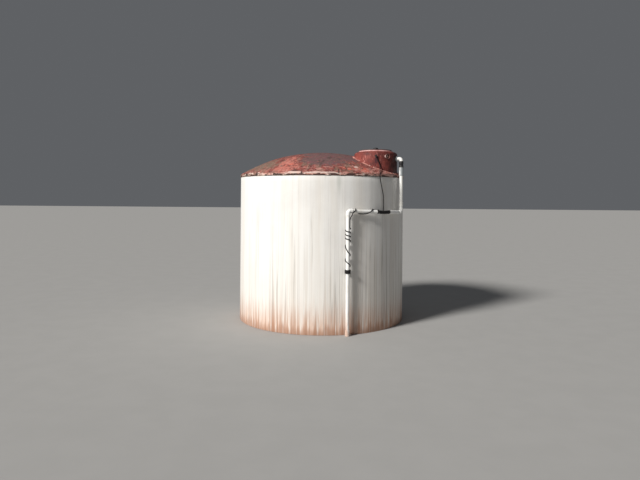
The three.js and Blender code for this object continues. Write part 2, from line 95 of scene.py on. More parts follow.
def turned(name, profile, steps=48, where=(0, 0, 0), direction=None, angle=35):
    # a single vertex is drawn out along the profile of radius and height, then spun about +Z
    clearSelection()
    bpy.ops.mesh.primitive_plane_add(size=0.01)
    piece = rename(bpy.context.object, name)
    bpy.ops.object.mode_set(mode="EDIT")
    bpy.ops.mesh.select_all(action="SELECT")
    bpy.ops.mesh.merge(type="CENTER")
    bpy.ops.transform.translate(value=(profile[0][0], 0, profile[0][1]))
    for (r0, z0), (r1, z1) in zip(profile, profile[1:]):
        bpy.ops.mesh.extrude_vertices_move(TRANSFORM_OT_translate={"value": (r1 - r0, 0, z1 - z0)})
    bpy.ops.mesh.select_all(action="SELECT")
    bpy.ops.mesh.spin(steps=steps, angle=2 * math.pi, center=(0, 0, 0), axis=(0, 0, 1))
    tidyMesh()
    place(piece, where, direction)
    return smooth(piece, angle)


def drawnUp(name, sides, radius, bottom, top, rows, shape=None):
    # a ring of points, drawn up row by row
    clearSelection()
    bpy.ops.mesh.primitive_circle_add(vertices=sides, radius=radius, fill_type="NOTHING",
                                      location=(0, 0, bottom))
    piece = rename(bpy.context.object, name)
    bpy.ops.object.transform_apply(location=True, rotation=True, scale=True)
    if shape:
        for vertex in piece.data.vertices:
            shape(vertex.co)
    bpy.ops.object.mode_set(mode="EDIT")
    bpy.ops.mesh.select_all(action="SELECT")
    for _ in range(rows):
        bpy.ops.mesh.extrude_edges_move(TRANSFORM_OT_translate={"value": (0, 0, (top - bottom) / rows)})
    tidyMesh()
    return piece


def block(size, where):
    clearSelection()
    bpy.ops.mesh.primitive_cube_add(size=1, location=where, scale=size)
    bpy.ops.object.transform_apply(location=True, rotation=True, scale=True)
    return bpy.context.object


def addModifier(piece, kind, **settings):
    pick(piece)
    modifier = piece.modifiers.new(kind.title(), kind)
    for key, value in settings.items():
        setattr(modifier, key, value)
    bpy.ops.object.modifier_apply(modifier=modifier.name)
    return piece


def cut(piece, cutter, operation="DIFFERENCE"):
    addModifier(piece, "BOOLEAN", operation=operation, solver="EXACT", object=cutter)
    bpy.data.objects.remove(cutter, do_unlink=True)
    return piece


def fuse(piece, *others):
    for other in others:
        cut(piece, other, "UNION")
    return piece


def softEdge(piece, width, degrees=30):
    return addModifier(piece, "BEVEL", width=width, segments=2, limit_method="ANGLE",
                       angle_limit=math.radians(degrees))


def dress(piece, material, body, slot, *nodes):
    # finish, body and the CAD nodes that the piece stands for
    piece.data.materials.clear()
    piece.data.materials.append(material)
    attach(piece, body)
    if nodes:
        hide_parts(*nodes)
    return piece


def tube(name, points, radius, sides, radii=None):
    # a cable or hose: a bevelled curve through the points, made a mesh
    clearSelection()
    curve = bpy.data.curves.new(name, "CURVE")
    curve.dimensions = "3D"
    curve.bevel_depth = radius
    curve.bevel_resolution = sides // 4 - 1
    curve.use_fill_caps = True
    spline = curve.splines.new("POLY")
    spline.points.add(len(points) - 1)
    for i, point in enumerate(points):
        spline.points[i].co = (*point, 1)
        spline.points[i].radius = radii[i] if radii else 1
    piece = bpy.data.objects.new(name, curve)
    bpy.context.scene.collection.objects.link(piece)
    pick(piece)
    bpy.ops.object.convert(target="MESH")
    piece = bpy.context.object
    bpy.ops.object.mode_set(mode="EDIT")
    tidyMesh()
    return smooth(piece, 40)


def smoothRoute(points, spacing):
    # a centripetal curve through the points, then points spaced evenly along it
    ends = [points[0] * 2 - points[1], *points, points[-1] * 2 - points[-2]]
    fine = []
    for before, start, end, after in zip(ends, ends[1:], ends[2:], ends[3:]):
        knot1 = (start - before).length ** 0.5
        knot2 = knot1 + (end - start).length ** 0.5
        knot3 = knot2 + (after - end).length ** 0.5
        steps = max(4, int((end - start).length / 0.002))
        for i in range(steps):
            at = knot1 + (knot2 - knot1) * i / steps
            share = (at - knot1) / (knot2 - knot1)
            first = before.lerp(start, at / knot1)
            middle = start.lerp(end, share)
            last = end.lerp(after, (at - knot2) / (knot3 - knot2))
            left = first.lerp(middle, at / knot2)
            right = middle.lerp(last, (at - knot1) / (knot3 - knot1))
            fine.append(left.lerp(right, share))
    fine.append(points[-1].copy())
    total = sum((b - a).length for a, b in zip(fine, fine[1:]))
    count = max(2, round(total / spacing))
    route, walked, wanted = [fine[0]], 0.0, total / count
    for a, b in zip(fine, fine[1:]):
        length = (b - a).length
        while walked + length >= wanted - 1e-9 and len(route) < count:
            route.append(a.lerp(b, (wanted - walked) / length))
            wanted += total / count
        walked += length
    route.append(fine[-1])
    return route, total


# sizes and places taken over from the solids

neck = {"azimuth": 58, "offset": 0.904, "radius": 0.305, "shoulderZ": 2.412, "topZ": 2.450,
        "flangeOuter": 0.240, "flangeInner": 0.224, "thickness": 0.008, "footZ": 2.09, "sideZ": 2.25}
neckCentre = around(neck["azimuth"], neck["offset"], 0)

run = {"offset": 1.280, "upperAzimuth": 60.3, "hoseRightAzimuth": 45.6, "hoseLeftAzimuth": 35,
       "lowerAzimuth": 15.5, "inletZ": 2.350, "rightZ": 1.599, "hoseRightZ": 1.606,
       "hoseLeftZ": 1.611, "leftZ": 1.624, "pipeRadius": 0.02415, "fittingRadius": 0.0305}
cornerElbow = {"radius": 0.028, "bend": 0.033, "arm": 0.060, "socket": 0.0305, "bore": 0.0245, "lipped": True}
smallElbow = {"radius": 0.0256, "bend": 0.029, "arm": 0.034, "socket": 0.028, "bore": 0.0245, "lipped": False}
inletCorner = around(run["upperAzimuth"], run["offset"], run["inletZ"])
rightCorner = around(run["upperAzimuth"], run["offset"], run["rightZ"])
leftCorner = around(run["lowerAzimuth"], run["offset"], run["leftZ"])
hoseRight = around(run["hoseRightAzimuth"], run["offset"], run["hoseRightZ"])
hoseLeft = around(run["hoseLeftAzimuth"], run["offset"], run["hoseLeftZ"])
rightWay = (hoseRight - rightCorner).normalized()
leftWay = (leftCorner - hoseLeft).normalized()
toNeck = Vector((neckCentre.x - inletCorner.x, neckCentre.y - inletCorner.y, 0))
inletDistance = toNeck.length
toNeck.normalize()

hose = {"radius": 0.0225, "sag": 0.004, "ribs": 420.0, "rings": 72, "sides": 32,
        "lump": 0.006, "lumps": 47, "squeeze": 0.012,            # shares of its radius
        "squeezeWidth": 0.022, "clampShares": (0.07, 0.93)}      # shares of its length

dome = {"radius": 1.220, "edgeZ": 2.130, "rise": 0.340, "power": 2.15, "knee": 0.012,
        "shell": 0.008, "firstRadius": 1.208, "skirtBottom": 2.0853, "skirtTop": 2.126,
        "kneeDrop": 0.0073, "manhole": 0.289, "rows": 30, "liningRows": 22, "uneven": 0.0035, "waves": 4}


def neckAxis(z):
    return Vector((neckCentre.x, neckCentre.y, z))


def domeZ(radius):
    return dome["edgeZ"] + dome["rise"] * (1 - (radius / dome["radius"]) ** dome["power"])


def kneePoint(share):
    # from the dome's edge over the knee to the skirt's top: radius and height
    start = Vector((dome["firstRadius"], domeZ(dome["firstRadius"])))
    corner = Vector((dome["radius"] - hair, start.y - dome["kneeDrop"]))
    end = Vector((dome["radius"], dome["skirtTop"]))
    return start.lerp(corner, share).lerp(corner.lerp(end, share), share)


def roofZ(radius):
    # the roof's height at a radius, the knee included
    if radius <= dome["firstRadius"]:
        return domeZ(radius)
    low, high = 0.0, 1.0
    for _ in range(24):
        middle = (low + high) / 2
        if kneePoint(middle).x < radius:
            low = middle
        else:
            high = middle
    return kneePoint(low).y


def hosePoint(share):
    pull = (hoseRight - hoseLeft).length / 3
    a, b = hoseRight, hoseRight + rightWay * pull
    c, d = hoseLeft - leftWay * pull, hoseLeft
    rest = 1 - share
    point = a * rest ** 3 + b * 3 * rest ** 2 * share + c * 3 * rest * share ** 2 + d * share ** 3
    point.z -= hose["sag"] * math.sin(math.pi * share) ** 2
    return point


def hoseWay(share):
    return (hosePoint(min(1, share + 0.001)) - hosePoint(max(0, share - 0.001))).normalized()


def besidePipe(onAxis, way, degrees, distance):
    # a point off a pipe's axis: 0 degrees on top, 90 in front, 180 beneath
    out = way.cross(down).normalized()
    over = way.cross(out).normalized()
    angle = math.radians(degrees)
    return onAxis + over * distance * math.cos(angle) + out * distance * math.sin(angle)


# camera

scene = bpy.context.scene
photoView = {"place": (0, -8.37, 1.79), "lens": 30.94, "sensor": 36, "roll": -0.45, "shiftX": -0.003,
             "shiftY": -0.0656}
cameraData = bpy.data.cameras.new("camera")
camera = bpy.data.objects.new("camera", cameraData)
scene.collection.objects.link(camera)
camera.location = photoView["place"]
camera.rotation_euler = (math.radians(90), math.radians(photoView["roll"]), 0)
cameraData.lens = photoView["lens"]
cameraData.sensor_width = photoView["sensor"]
cameraData.shift_x = photoView["shiftX"]
cameraData.shift_y = photoView["shiftY"]
cameraData.clip_end = 200
scene.camera = camera
print("camera set")


# materials: helpers

class Nodes:
    # a material being wired up: every call adds one node and hands back its output
    def __init__(self, name, roughness, metallic=0.0, specular=0.5):
        self.material = bpy.data.materials.new(name)
        self.material.use_nodes = True
        self.tree = self.material.node_tree
        self.shader = self.tree.nodes["Principled BSDF"]
        self.shader.inputs["Roughness"].default_value = roughness
        self.shader.inputs["Metallic"].default_value = metallic
        self.shader.inputs["Specular IOR Level"].default_value = specular
        self.coords = self.tree.nodes.new("ShaderNodeTexCoord").outputs["Object"]
        self.colour = None
        self.height = None

    def set(self, socket, value):
        if hasattr(value, "is_linked"):
            self.tree.links.new(value, socket)
        elif isinstance(value, (tuple, list)) and len(value) == 3 and socket.type == "RGBA":
            socket.default_value = (*value, 1)
        else:
            socket.default_value = value

    def stretch(self, scale, move=(0, 0, 0), source=None):
        node = self.tree.nodes.new("ShaderNodeMapping")
        self.set(node.inputs["Vector"], source or self.coords)
        node.inputs["Scale"].default_value = scale
        node.inputs["Location"].default_value = move
        return node.outputs["Vector"]

    def noise(self, scale, vector=None, detail=4, rough=0.55, distortion=0.0):
        node = self.tree.nodes.new("ShaderNodeTexNoise")
        self.set(node.inputs["Vector"], vector or self.coords)
        node.inputs["Scale"].default_value = scale
        node.inputs["Detail"].default_value = detail
        node.inputs["Roughness"].default_value = rough
        node.inputs["Distortion"].default_value = distortion
        return node.outputs["Fac"]

    def cells(self, scale, vector=None):
        node = self.tree.nodes.new("ShaderNodeTexVoronoi")
        node.feature = "DISTANCE_TO_EDGE"
        self.set(node.inputs["Vector"], vector or self.coords)
        node.inputs["Scale"].default_value = scale
        return node.outputs["Distance"]

    def axis(self, name, source=None):
        node = self.tree.nodes.new("ShaderNodeSeparateXYZ")
        self.set(node.inputs[0], source or self.coords)
        return node.outputs[name]

    def vector(self, operation, a, b=None, output="Vector"):
        node = self.tree.nodes.new("ShaderNodeVectorMath")
        node.operation = operation
        self.set(node.inputs[0], a)
        if b is not None:
            self.set(node.inputs[1], b)
        return node.outputs[output]

    def length(self, vector):
        return self.vector("LENGTH", vector, output="Value")

    def sum(self, operation, a, b=0.0):
        node = self.tree.nodes.new("ShaderNodeMath")
        node.operation = operation
        self.set(node.inputs[0], a)
        self.set(node.inputs[1], b)
        return node.outputs[0]

    def times(self, first, *others):
        for other in others:
            first = self.sum("MULTIPLY", first, other)
        return first

    def range(self, value, low, high, toLow=0.0, toHigh=1.0):
        node = self.tree.nodes.new("ShaderNodeMapRange")
        node.interpolation_type = "SMOOTHSTEP"
        self.set(node.inputs["Value"], value)
        node.inputs["From Min"].default_value = low
        node.inputs["From Max"].default_value = high
        node.inputs["To Min"].default_value = toLow
        node.inputs["To Max"].default_value = toHigh
        return node.outputs["Result"]

    def mix(self, share, a, b):
        node = self.tree.nodes.new("ShaderNodeMix")
        node.data_type = "RGBA"
        self.set(node.inputs["Factor"], share)
        self.set(node.inputs[6], a)
        self.set(node.inputs[7], b)
        return node.outputs[2]

    def spot(self, centre, size, soft=0.5, wobble=None):
        # 1 inside an ellipsoid at a place, fading to 0 at its edge
        inverse = tuple(1 / s for s in size)
        distance = self.length(self.stretch(inverse, tuple(-c * i for c, i in zip(centre, inverse))))
        if wobble is not None:
            distance = self.sum("ADD", distance, wobble)
        return self.range(distance, 1 - soft, 1 + soft, 1, 0)

    def spots(self, places, soft=0.5, wobble=None):
        # the strongest of several spots
        share = self.spot(*places[0], soft, wobble)
        for centre, size in places[1:]:
            share = self.sum("MAXIMUM", share, self.spot(centre, size, soft, wobble))
        return share

    def downSlope(self, squeeze):
        # the way out from the tank's axis, and the radius squeezed: noise in this runs down the roof
        flat = self.vector("MULTIPLY", self.coords, (1, 1, 0))
        node = self.tree.nodes.new("ShaderNodeCombineXYZ")
        self.set(node.inputs["Z"], self.times(self.length(flat), squeeze))
        return self.vector("ADD", self.vector("NORMALIZE", flat), node.outputs[0])

    def bump(self, height, strength=0.5, distance=0.001):
        node = self.tree.nodes.new("ShaderNodeBump")
        self.set(node.inputs["Height"], height)
        node.inputs["Strength"].default_value = strength
        node.inputs["Distance"].default_value = distance
        if self.height is not None:
            self.tree.links.new(self.height, node.inputs["Normal"])
        self.height = node.outputs["Normal"]

    def layer(self, share, tone):
        # lays a tone over the colour so far
        self.colour = self.mix(share, self.colour, tone)

    def finish(self, roughness=None):
        self.set(self.shader.inputs["Base Color"], self.colour)
        if roughness is not None:
            self.set(self.shader.inputs["Roughness"], roughness)
        if self.height is not None:
            self.tree.links.new(self.height, self.shader.inputs["Normal"])
        return self.material


# materials: finishes

# where the strips at the wall's top lie pale and where they show dark: place and half size of each
rimMarks = {
    "pale": [((-0.37, -1.16, 2.128), (0.110, 0.3, 0.013)), ((-0.03, -1.21, 2.126), (0.235, 0.3, 0.009)),
             ((0.13, -1.20, 2.119), (0.090, 0.3, 0.010)), ((-0.99, -0.69, 2.118), (0.040, 0.3, 0.016)),
             ((-0.87, -0.85, 2.125), (0.035, 0.3, 0.010))],
    "dark": [((-1.06, -0.60, 2.110), (0.022, 0.3, 0.026)), ((-0.895, -0.83, 2.112), (0.020, 0.3, 0.030)),
             ((-0.60, -1.06, 2.100), (0.075, 0.3, 0.014)), ((-0.385, -1.15, 2.096), (0.125, 0.3, 0.013)),
             ((-0.345, -1.15, 2.152), (0.070, 0.3, 0.006)), ((-0.268, -1.18, 2.120), (0.012, 0.3, 0.036)),
             ((0.00, -1.22, 2.095), (0.060, 0.3, 0.011)), ((0.140, -1.21, 2.095), (0.070, 0.3, 0.010)),
             ((0.215, -1.19, 2.145), (0.012, 0.3, 0.030)), ((0.375, -1.16, 2.097), (0.085, 0.3, 0.008)),
             ((0.585, -1.07, 2.097), (0.045, 0.3, 0.012))]}


def wallGelcoat():
    # chalky white gelcoat: thin dirt streaks all the way down, and soil washed up the foot
    tone = {"white": (0.845, 0.835, 0.81), "cream": (0.765, 0.725, 0.665), "streak": (0.30, 0.275, 0.25),
            "tan": (0.60, 0.545, 0.48), "grey": (0.60, 0.575, 0.56), "soil": (0.66, 0.43, 0.315),
            "clay": (0.40, 0.215, 0.14), "drip": (0.46, 0.48, 0.43), "shadow": (0.26, 0.23, 0.21)}
    grain = {"broad": 5.5, "streak": 21, "thread": 17, "fine": 38, "trickle": 40, "fade": 9, "cloud": 2.2,
             "pores": 420}
    # the heights between which each kind of dirt sets in, and how strongly it shows
    height = {"cream": (0.2, 1.3), "streaks": (0.10, 1.85), "wash": (0.0, 0.55), "rivulets": (0.02, 0.45),
              "crust": (-0.02, 0.09), "grime": (2.11, 2.24), "rimShadowLine": (2.076, 2.084)}
    strength = {"broad": 0.75, "cloud": 0.25, "cream": 0.50, "streak": 0.30, "hairline": 0.60, "fine": 0.40,
                "clay": 0.45, "rivulets": 0.75, "crust": 0.65, "grime": 0.35, "drip": 0.40, "rimShadowLine": 0.6}
    dripPlace, dripSize = (0.225, -1.20, 2.02), (0.035, 0.2, 0.17)
    mat = Nodes("wallGelcoat", 0.5, specular=0.35)
    z = mat.axis("Z")
    broad = mat.noise(grain["broad"], mat.stretch((1, 1, 0.06)), detail=5, rough=0.6)
    streak = mat.noise(grain["streak"], mat.stretch((1, 1, 0.016), (3, 7, 0)), detail=3, rough=0.5)
    thread = mat.noise(grain["thread"], mat.stretch((1, 1, 0.009), (8, 1, 0)), detail=2, rough=0.5)
    fine = mat.noise(grain["fine"], mat.stretch((1, 1, 0.012), (2, 9, 0)), detail=2, rough=0.5)
    trickle = mat.noise(grain["trickle"], mat.stretch((1, 1, 0.05), (6, 2, 4)), detail=4, rough=0.6)
    fade = mat.noise(grain["fade"], mat.stretch((1, 1, 0.10), (1, 4, 2)), detail=4, rough=0.6)
    cloud = mat.noise(grain["cloud"], detail=5, rough=0.6)
    # painted light: the streaks are painted fainter towards the left, the lit side
    front = mat.range(mat.axis("X"), -1.15, -0.2, 0.55, 1.0)
    mat.colour = tone["white"]
    mat.layer(mat.range(broad, 0.42, 0.74, 0.0, strength["broad"]), tone["cream"])
    mat.layer(mat.range(cloud, 0.45, 0.8, 0.0, strength["cloud"]), tone["grey"])
    yellowed = mat.sum("ADD", z, mat.range(broad, 0.3, 0.7, -0.3, 0.3))
    mat.layer(mat.range(yellowed, *height["cream"], strength["cream"], 0.0), tone["cream"])
    # hair-thin streaks where the water runs, and wider dim ones; all gain strength towards the foot
    reach = mat.sum("ADD", z, mat.range(fade, 0.3, 0.7, -0.55, 0.55))
    lower = mat.times(mat.range(reach, *height["streaks"], 1.0, 0.08), front)
    hairline = mat.range(mat.sum("ABSOLUTE", mat.sum("SUBTRACT", thread, 0.5)), 0.004, 0.024, 1.0, 0.0)
    mat.layer(mat.times(mat.range(streak, 0.50, 0.62), lower, strength["streak"]), tone["tan"])
    mat.layer(mat.times(hairline, lower, strength["hairline"]), tone["streak"])
    mat.layer(mat.times(mat.range(fine, 0.52, 0.60), lower, strength["fine"]), tone["tan"])
    # soil splashed up the foot, thinner between the trickles
    splash = mat.sum("ADD", z, mat.range(trickle, 0.3, 0.7, -0.16, 0.16))
    wash = mat.range(splash, *height["wash"], 1.0, 0.0)
    mat.layer(mat.times(wash, mat.range(trickle, 0.43, 0.55, 0.22, 1.0)), tone["soil"])
    mat.layer(mat.times(wash, hairline, strength["clay"]), tone["clay"])
    footed = mat.range(z, *height["rivulets"], strength["rivulets"], 0.0)
    mat.layer(mat.times(mat.range(fine, 0.50, 0.56), footed), tone["clay"])
    caked = mat.sum("SUBTRACT", z, mat.range(streak, 0.35, 0.65, 0.0, 0.10))
    crust = mat.range(caked, *height["crust"], 1.0, 0.0)
    mat.layer(mat.times(crust, strength["crust"]), tone["clay"])
    # faint grime run down from under the rim, and one long drip
    grimy = mat.sum("ADD", z, mat.range(streak, 0.52, 0.72, 0.0, 0.16))
    mat.layer(mat.times(mat.range(grimy, *height["grime"]), strength["grime"]), tone["drip"])
    drip = mat.spot(dripPlace, dripSize, 0.6, mat.times(thread, 0.4))
    mat.layer(mat.times(drip, strength["drip"]), tone["drip"])
    # painted shadow: a dark line on the wall just under the rim's overhanging lip
    mat.layer(mat.range(z, *height["rimShadowLine"], 0.0, strength["rimShadowLine"]), tone["shadow"])
    mat.bump(streak, 0.25, 0.003)
    mat.bump(thread, 0.15, 0.001)
    mat.bump(mat.noise(grain["pores"], detail=2), 0.06, 0.0006)
    return mat.finish(mat.range(streak, 0.3, 0.7, 0.42, 0.62))


def domeGelcoat():
    # faded red-brown gelcoat: salmon where the pigment holds, grey-brown where it has worn through
    tone = {"red": (0.290, 0.078, 0.062), "deep": (0.135, 0.038, 0.034), "salmon": (0.520, 0.180, 0.140),
            "orange": (0.560, 0.130, 0.085), "worn": (0.158, 0.096, 0.090), "olive": (0.195, 0.135, 0.100),
            "pink": (0.60, 0.29, 0.25), "chalk": (0.70, 0.53, 0.47), "purple": (0.175, 0.085, 0.092),
            "soot": (0.080, 0.050, 0.048), "darkPatch": (0.075, 0.040, 0.034)}
    grain = {"patches": 3.4, "mottle": 17, "blots": 15, "specks": 70, "runs": 13, "scratches": 34,
             "ledges": 9, "flakes": 22, "crumbs": 30}
    strength = {"runs": 0.70, "orange": 0.9, "ledges": 0.80, "scratches": 0.6, "specks": 0.5, "flakes": 0.70,
                "field": 0.8, "chalk": 0.8, "strips": 0.85}
    # the patches that show from the front: place and half size
    wornSpots = [((0.03, -0.80, 2.28), (0.32, 0.25, 0.25)), ((0.20, -0.55, 2.36), (0.42, 0.32, 0.25)),
                 ((-0.05, -0.48, 2.40), (0.24, 0.24, 0.20))]
    salmonSpots = [((-0.47, -1.00, 2.18), (0.17, 0.13, 0.12)), ((-0.46, -0.82, 2.26), (0.13, 0.17, 0.12)),
                   ((-0.42, -0.68, 2.32), (0.09, 0.13, 0.10))]
    orangeSpots = [((0.33, -1.06, 2.18), (0.07, 0.05, 0.06)), ((0.55, -1.00, 2.17), (0.14, 0.07, 0.06)),
                   ((-0.44, -0.92, 2.22), (0.06, 0.05, 0.06))]
    oliveSpots = [((-0.78, -0.62, 2.24), (0.15, 0.24, 0.20)), ((-0.95, -0.42, 2.22), (0.12, 0.26, 0.20))]
    pinkField = ((0.78, -0.90, 2.14), (0.34, 0.22, 0.06))
    chalkSpot = ((0.45, -0.97, 2.205), (0.028, 0.040, 0.03))
    mat = Nodes("domeGelcoat", 0.62, specular=0.3)
    z = mat.axis("Z")
    radius = mat.length(mat.vector("MULTIPLY", mat.coords, (1, 1, 0)))
    patches = mat.noise(grain["patches"], detail=7, rough=0.62, distortion=0.3)
    mottle = mat.noise(grain["mottle"], detail=6, rough=0.65)
    blots = mat.noise(grain["blots"], mat.stretch((1, 0.6, 1), (5, 2, 8)), detail=5, rough=0.65,
                      distortion=0.6)
    specks = mat.noise(grain["specks"], detail=4, rough=0.6)
    runs = mat.noise(grain["runs"], mat.downSlope(0.35), detail=5, rough=0.6, distortion=0.2)
    scratches = mat.noise(grain["scratches"], mat.downSlope(0.5), detail=5, rough=0.6)
    ledges = mat.noise(grain["ledges"], mat.downSlope(3.0), detail=5, rough=0.65)
    wobble = mat.range(mottle, 0.3, 0.7, -0.35, 0.35)
    away = mat.range(radius, 0.25, 0.6)
    mat.colour = tone["deep"]
    mat.layer(mat.range(blots, 0.40, 0.56), tone["red"])
    mat.layer(mat.times(mat.range(runs, 0.50, 0.58), away, strength["runs"]), tone["olive"])
    held = mat.range(patches, 0.56, 0.66, 0.0, 0.6)
    salmon = mat.sum("MAXIMUM", mat.spots(salmonSpots, 0.25, wobble), held)
    mat.layer(mat.times(salmon, mat.range(blots, 0.38, 0.50, 0.15, 0.9)), tone["salmon"])
    orange = mat.times(mat.spots(orangeSpots, 0.4, wobble), mat.range(blots, 0.42, 0.52))
    mat.layer(mat.times(orange, strength["orange"]), tone["orange"])
    olive = mat.times(mat.spots(oliveSpots, 0.4, wobble), mat.range(runs, 0.40, 0.48, 0.1, 0.95))
    mat.layer(olive, tone["olive"])
    # ledges of old paint lie across the lower part of the roof
    ledge = mat.times(mat.range(ledges, 0.53, 0.60), mat.range(radius, 1.00, 1.09),
                      mat.range(mat.axis("X"), -0.35, -0.20))
    mat.layer(mat.times(ledge, strength["ledges"]), tone["pink"])
    # the crown is worn grey-brown, with soot in its pores
    crown = mat.times(mat.range(patches, 0.42, 0.52), mat.range(radius, 0.40, 0.70, 1.0, 0.0))
    worn = mat.sum("MAXIMUM", mat.spots(wornSpots, 0.16, mat.times(wobble, 0.6)), crown)
    inner = mat.range(mat.sum("ADD", radius, wobble), 0.6, 1.1, 0.9, 0.0)
    back = mat.times(mat.range(mat.axis("Y"), -0.2, 0.3), inner)
    worn = mat.times(mat.sum("MAXIMUM", worn, back), mat.range(ledges, 0.62, 0.54, 0.35, 1.0))
    grey = mat.mix(mat.range(mottle, 0.46, 0.56), tone["worn"], tone["purple"])
    grey = mat.mix(mat.range(blots, 0.46, 0.38, 0.0, 0.7), grey, tone["soot"])
    mat.layer(worn, grey)
    # pink chalk in thin runs and specks where the pigment still holds
    bright = mat.sum("SUBTRACT", 1.0, mat.times(worn, 0.75))
    chalky = mat.times(mat.range(scratches, 0.57, 0.64), away, bright, strength["scratches"])
    mat.layer(chalky, tone["pink"])
    mat.layer(mat.times(mat.range(specks, 0.62, 0.69), bright, strength["specks"]), tone["pink"])
    flaking = mat.range(mat.noise(grain["flakes"], detail=6, rough=0.7), 0.54, 0.60)
    flakes = mat.times(flaking, mat.range(z, 2.145, 2.190, 1.0, 0.0))
    mat.layer(mat.times(flakes, strength["flakes"]), tone["pink"])
    field = mat.spot(*pinkField, 0.4, mat.times(wobble, 0.6))
    crumbs = mat.range(mat.noise(grain["crumbs"], detail=4), 0.48, 0.56)
    mat.layer(mat.times(field, crumbs, strength["field"]), tone["pink"])
    mat.layer(mat.times(mat.spot(*chalkSpot, 0.3, wobble), strength["chalk"]), tone["chalk"])
    # the old strips reach a little way up the roof
    ragged = mat.range(mottle, 0.3, 0.7, -0.4, 0.4)
    pale = mat.spots(rimMarks["pale"], 0.25, ragged)
    mat.layer(mat.times(pale, strength["strips"]), tone["chalk"])
    dark = mat.spots(rimMarks["dark"], 0.3, ragged)
    mat.layer(mat.times(dark, strength["strips"]), tone["darkPatch"])
    # the skirt under the strips is dark
    mat.layer(mat.range(z, 2.112, 2.124, 1.0, 0.0), tone["darkPatch"])
    mat.bump(patches, 0.2, 0.004)
    mat.bump(runs, 0.25, 0.002)
    mat.bump(blots, 0.3, 0.003)
    mat.bump(specks, 0.25, 0.0008)
    return mat.finish(mat.range(mottle, 0.3, 0.7, 0.52, 0.78))


def neckGelcoat():
    # the same red on the neck's side, fresher and chipped towards the front, the orange there partly painted
    # light, and painted shade behind the pipe
    tone = {"red": (0.198, 0.043, 0.034), "deep": (0.094, 0.021, 0.018), "orange": (0.31, 0.074, 0.058),
            "pink": (0.52, 0.215, 0.185), "grime": (0.050, 0.017, 0.016), "smear": (0.060, 0.018, 0.024)}
    grain = {"runs": 15, "mottle": 19, "specks": 48}
    # the patches on the neck: place and half size
    freshAndLitSpots = [((0.50, -0.62, 2.30), (0.12, 0.16, 0.11)), ((0.60, -0.78, 2.36), (0.07, 0.1, 0.03))]
    neckShadeSpot = ((1.04, -0.62, 2.27), (0.10, 0.12, 0.24))
    smearSpot = ((0.744, -0.79, 2.335), (0.022, 0.06, 0.075))
    mat = Nodes("neckGelcoat", 0.6, specular=0.3)
    z = mat.axis("Z")
    runs = mat.noise(grain["runs"], mat.stretch((1, 1, 0.30)), detail=5, rough=0.6)
    mottle = mat.noise(grain["mottle"], detail=6, rough=0.65)
    specks = mat.noise(grain["specks"], mat.stretch((1, 1, 0.45)), detail=4, rough=0.6)
    mat.colour = tone["deep"]
    mat.layer(mat.range(mottle, 0.38, 0.60), tone["red"])
    mat.layer(mat.range(runs, 0.52, 0.62, 0.0, 0.65), tone["deep"])
    # orange patches on the neck's lit left face: partly real colour, partly painted light
    freshAndLit = mat.spots(freshAndLitSpots, 0.6, mat.range(mottle, 0.3, 0.7, -0.4, 0.4))
    mat.layer(mat.times(freshAndLit, mat.range(runs, 0.36, 0.48, 0.2, 0.9)), tone["orange"])
    chips = mat.times(mat.range(specks, 0.58, 0.64, 0.0, 0.8), mat.range(freshAndLit, 0.0, 0.5, 0.30, 1.0))
    mat.layer(chips, tone["pink"])
    # the flange's top edge is painted pink as a highlight where it faces up, and the side behind the fill
    # pipe is painted dark as shade
    mat.layer(mat.range(z, 2.440, 2.449, 0.0, 0.8), tone["pink"])
    # painted shade: a dark patch on the neck's side behind the fill pipe
    neckShade = mat.spot(*neckShadeSpot, 0.6, mat.range(mottle, 0.3, 0.7, -0.3, 0.3))
    mat.layer(mat.times(neckShade, 0.85), tone["grime"])
    # soot rubbed off the float cable below its gland
    smear = mat.spot(*smearSpot, 0.45, mat.range(specks, 0.3, 0.7, -0.3, 0.3))
    mat.layer(mat.times(smear, 0.92), tone["smear"])
    mat.bump(runs, 0.2, 0.003)
    mat.bump(mottle, 0.25, 0.002)
    mat.bump(specks, 0.2, 0.0008)
    return mat.finish(mat.range(mottle, 0.3, 0.7, 0.5, 0.74))


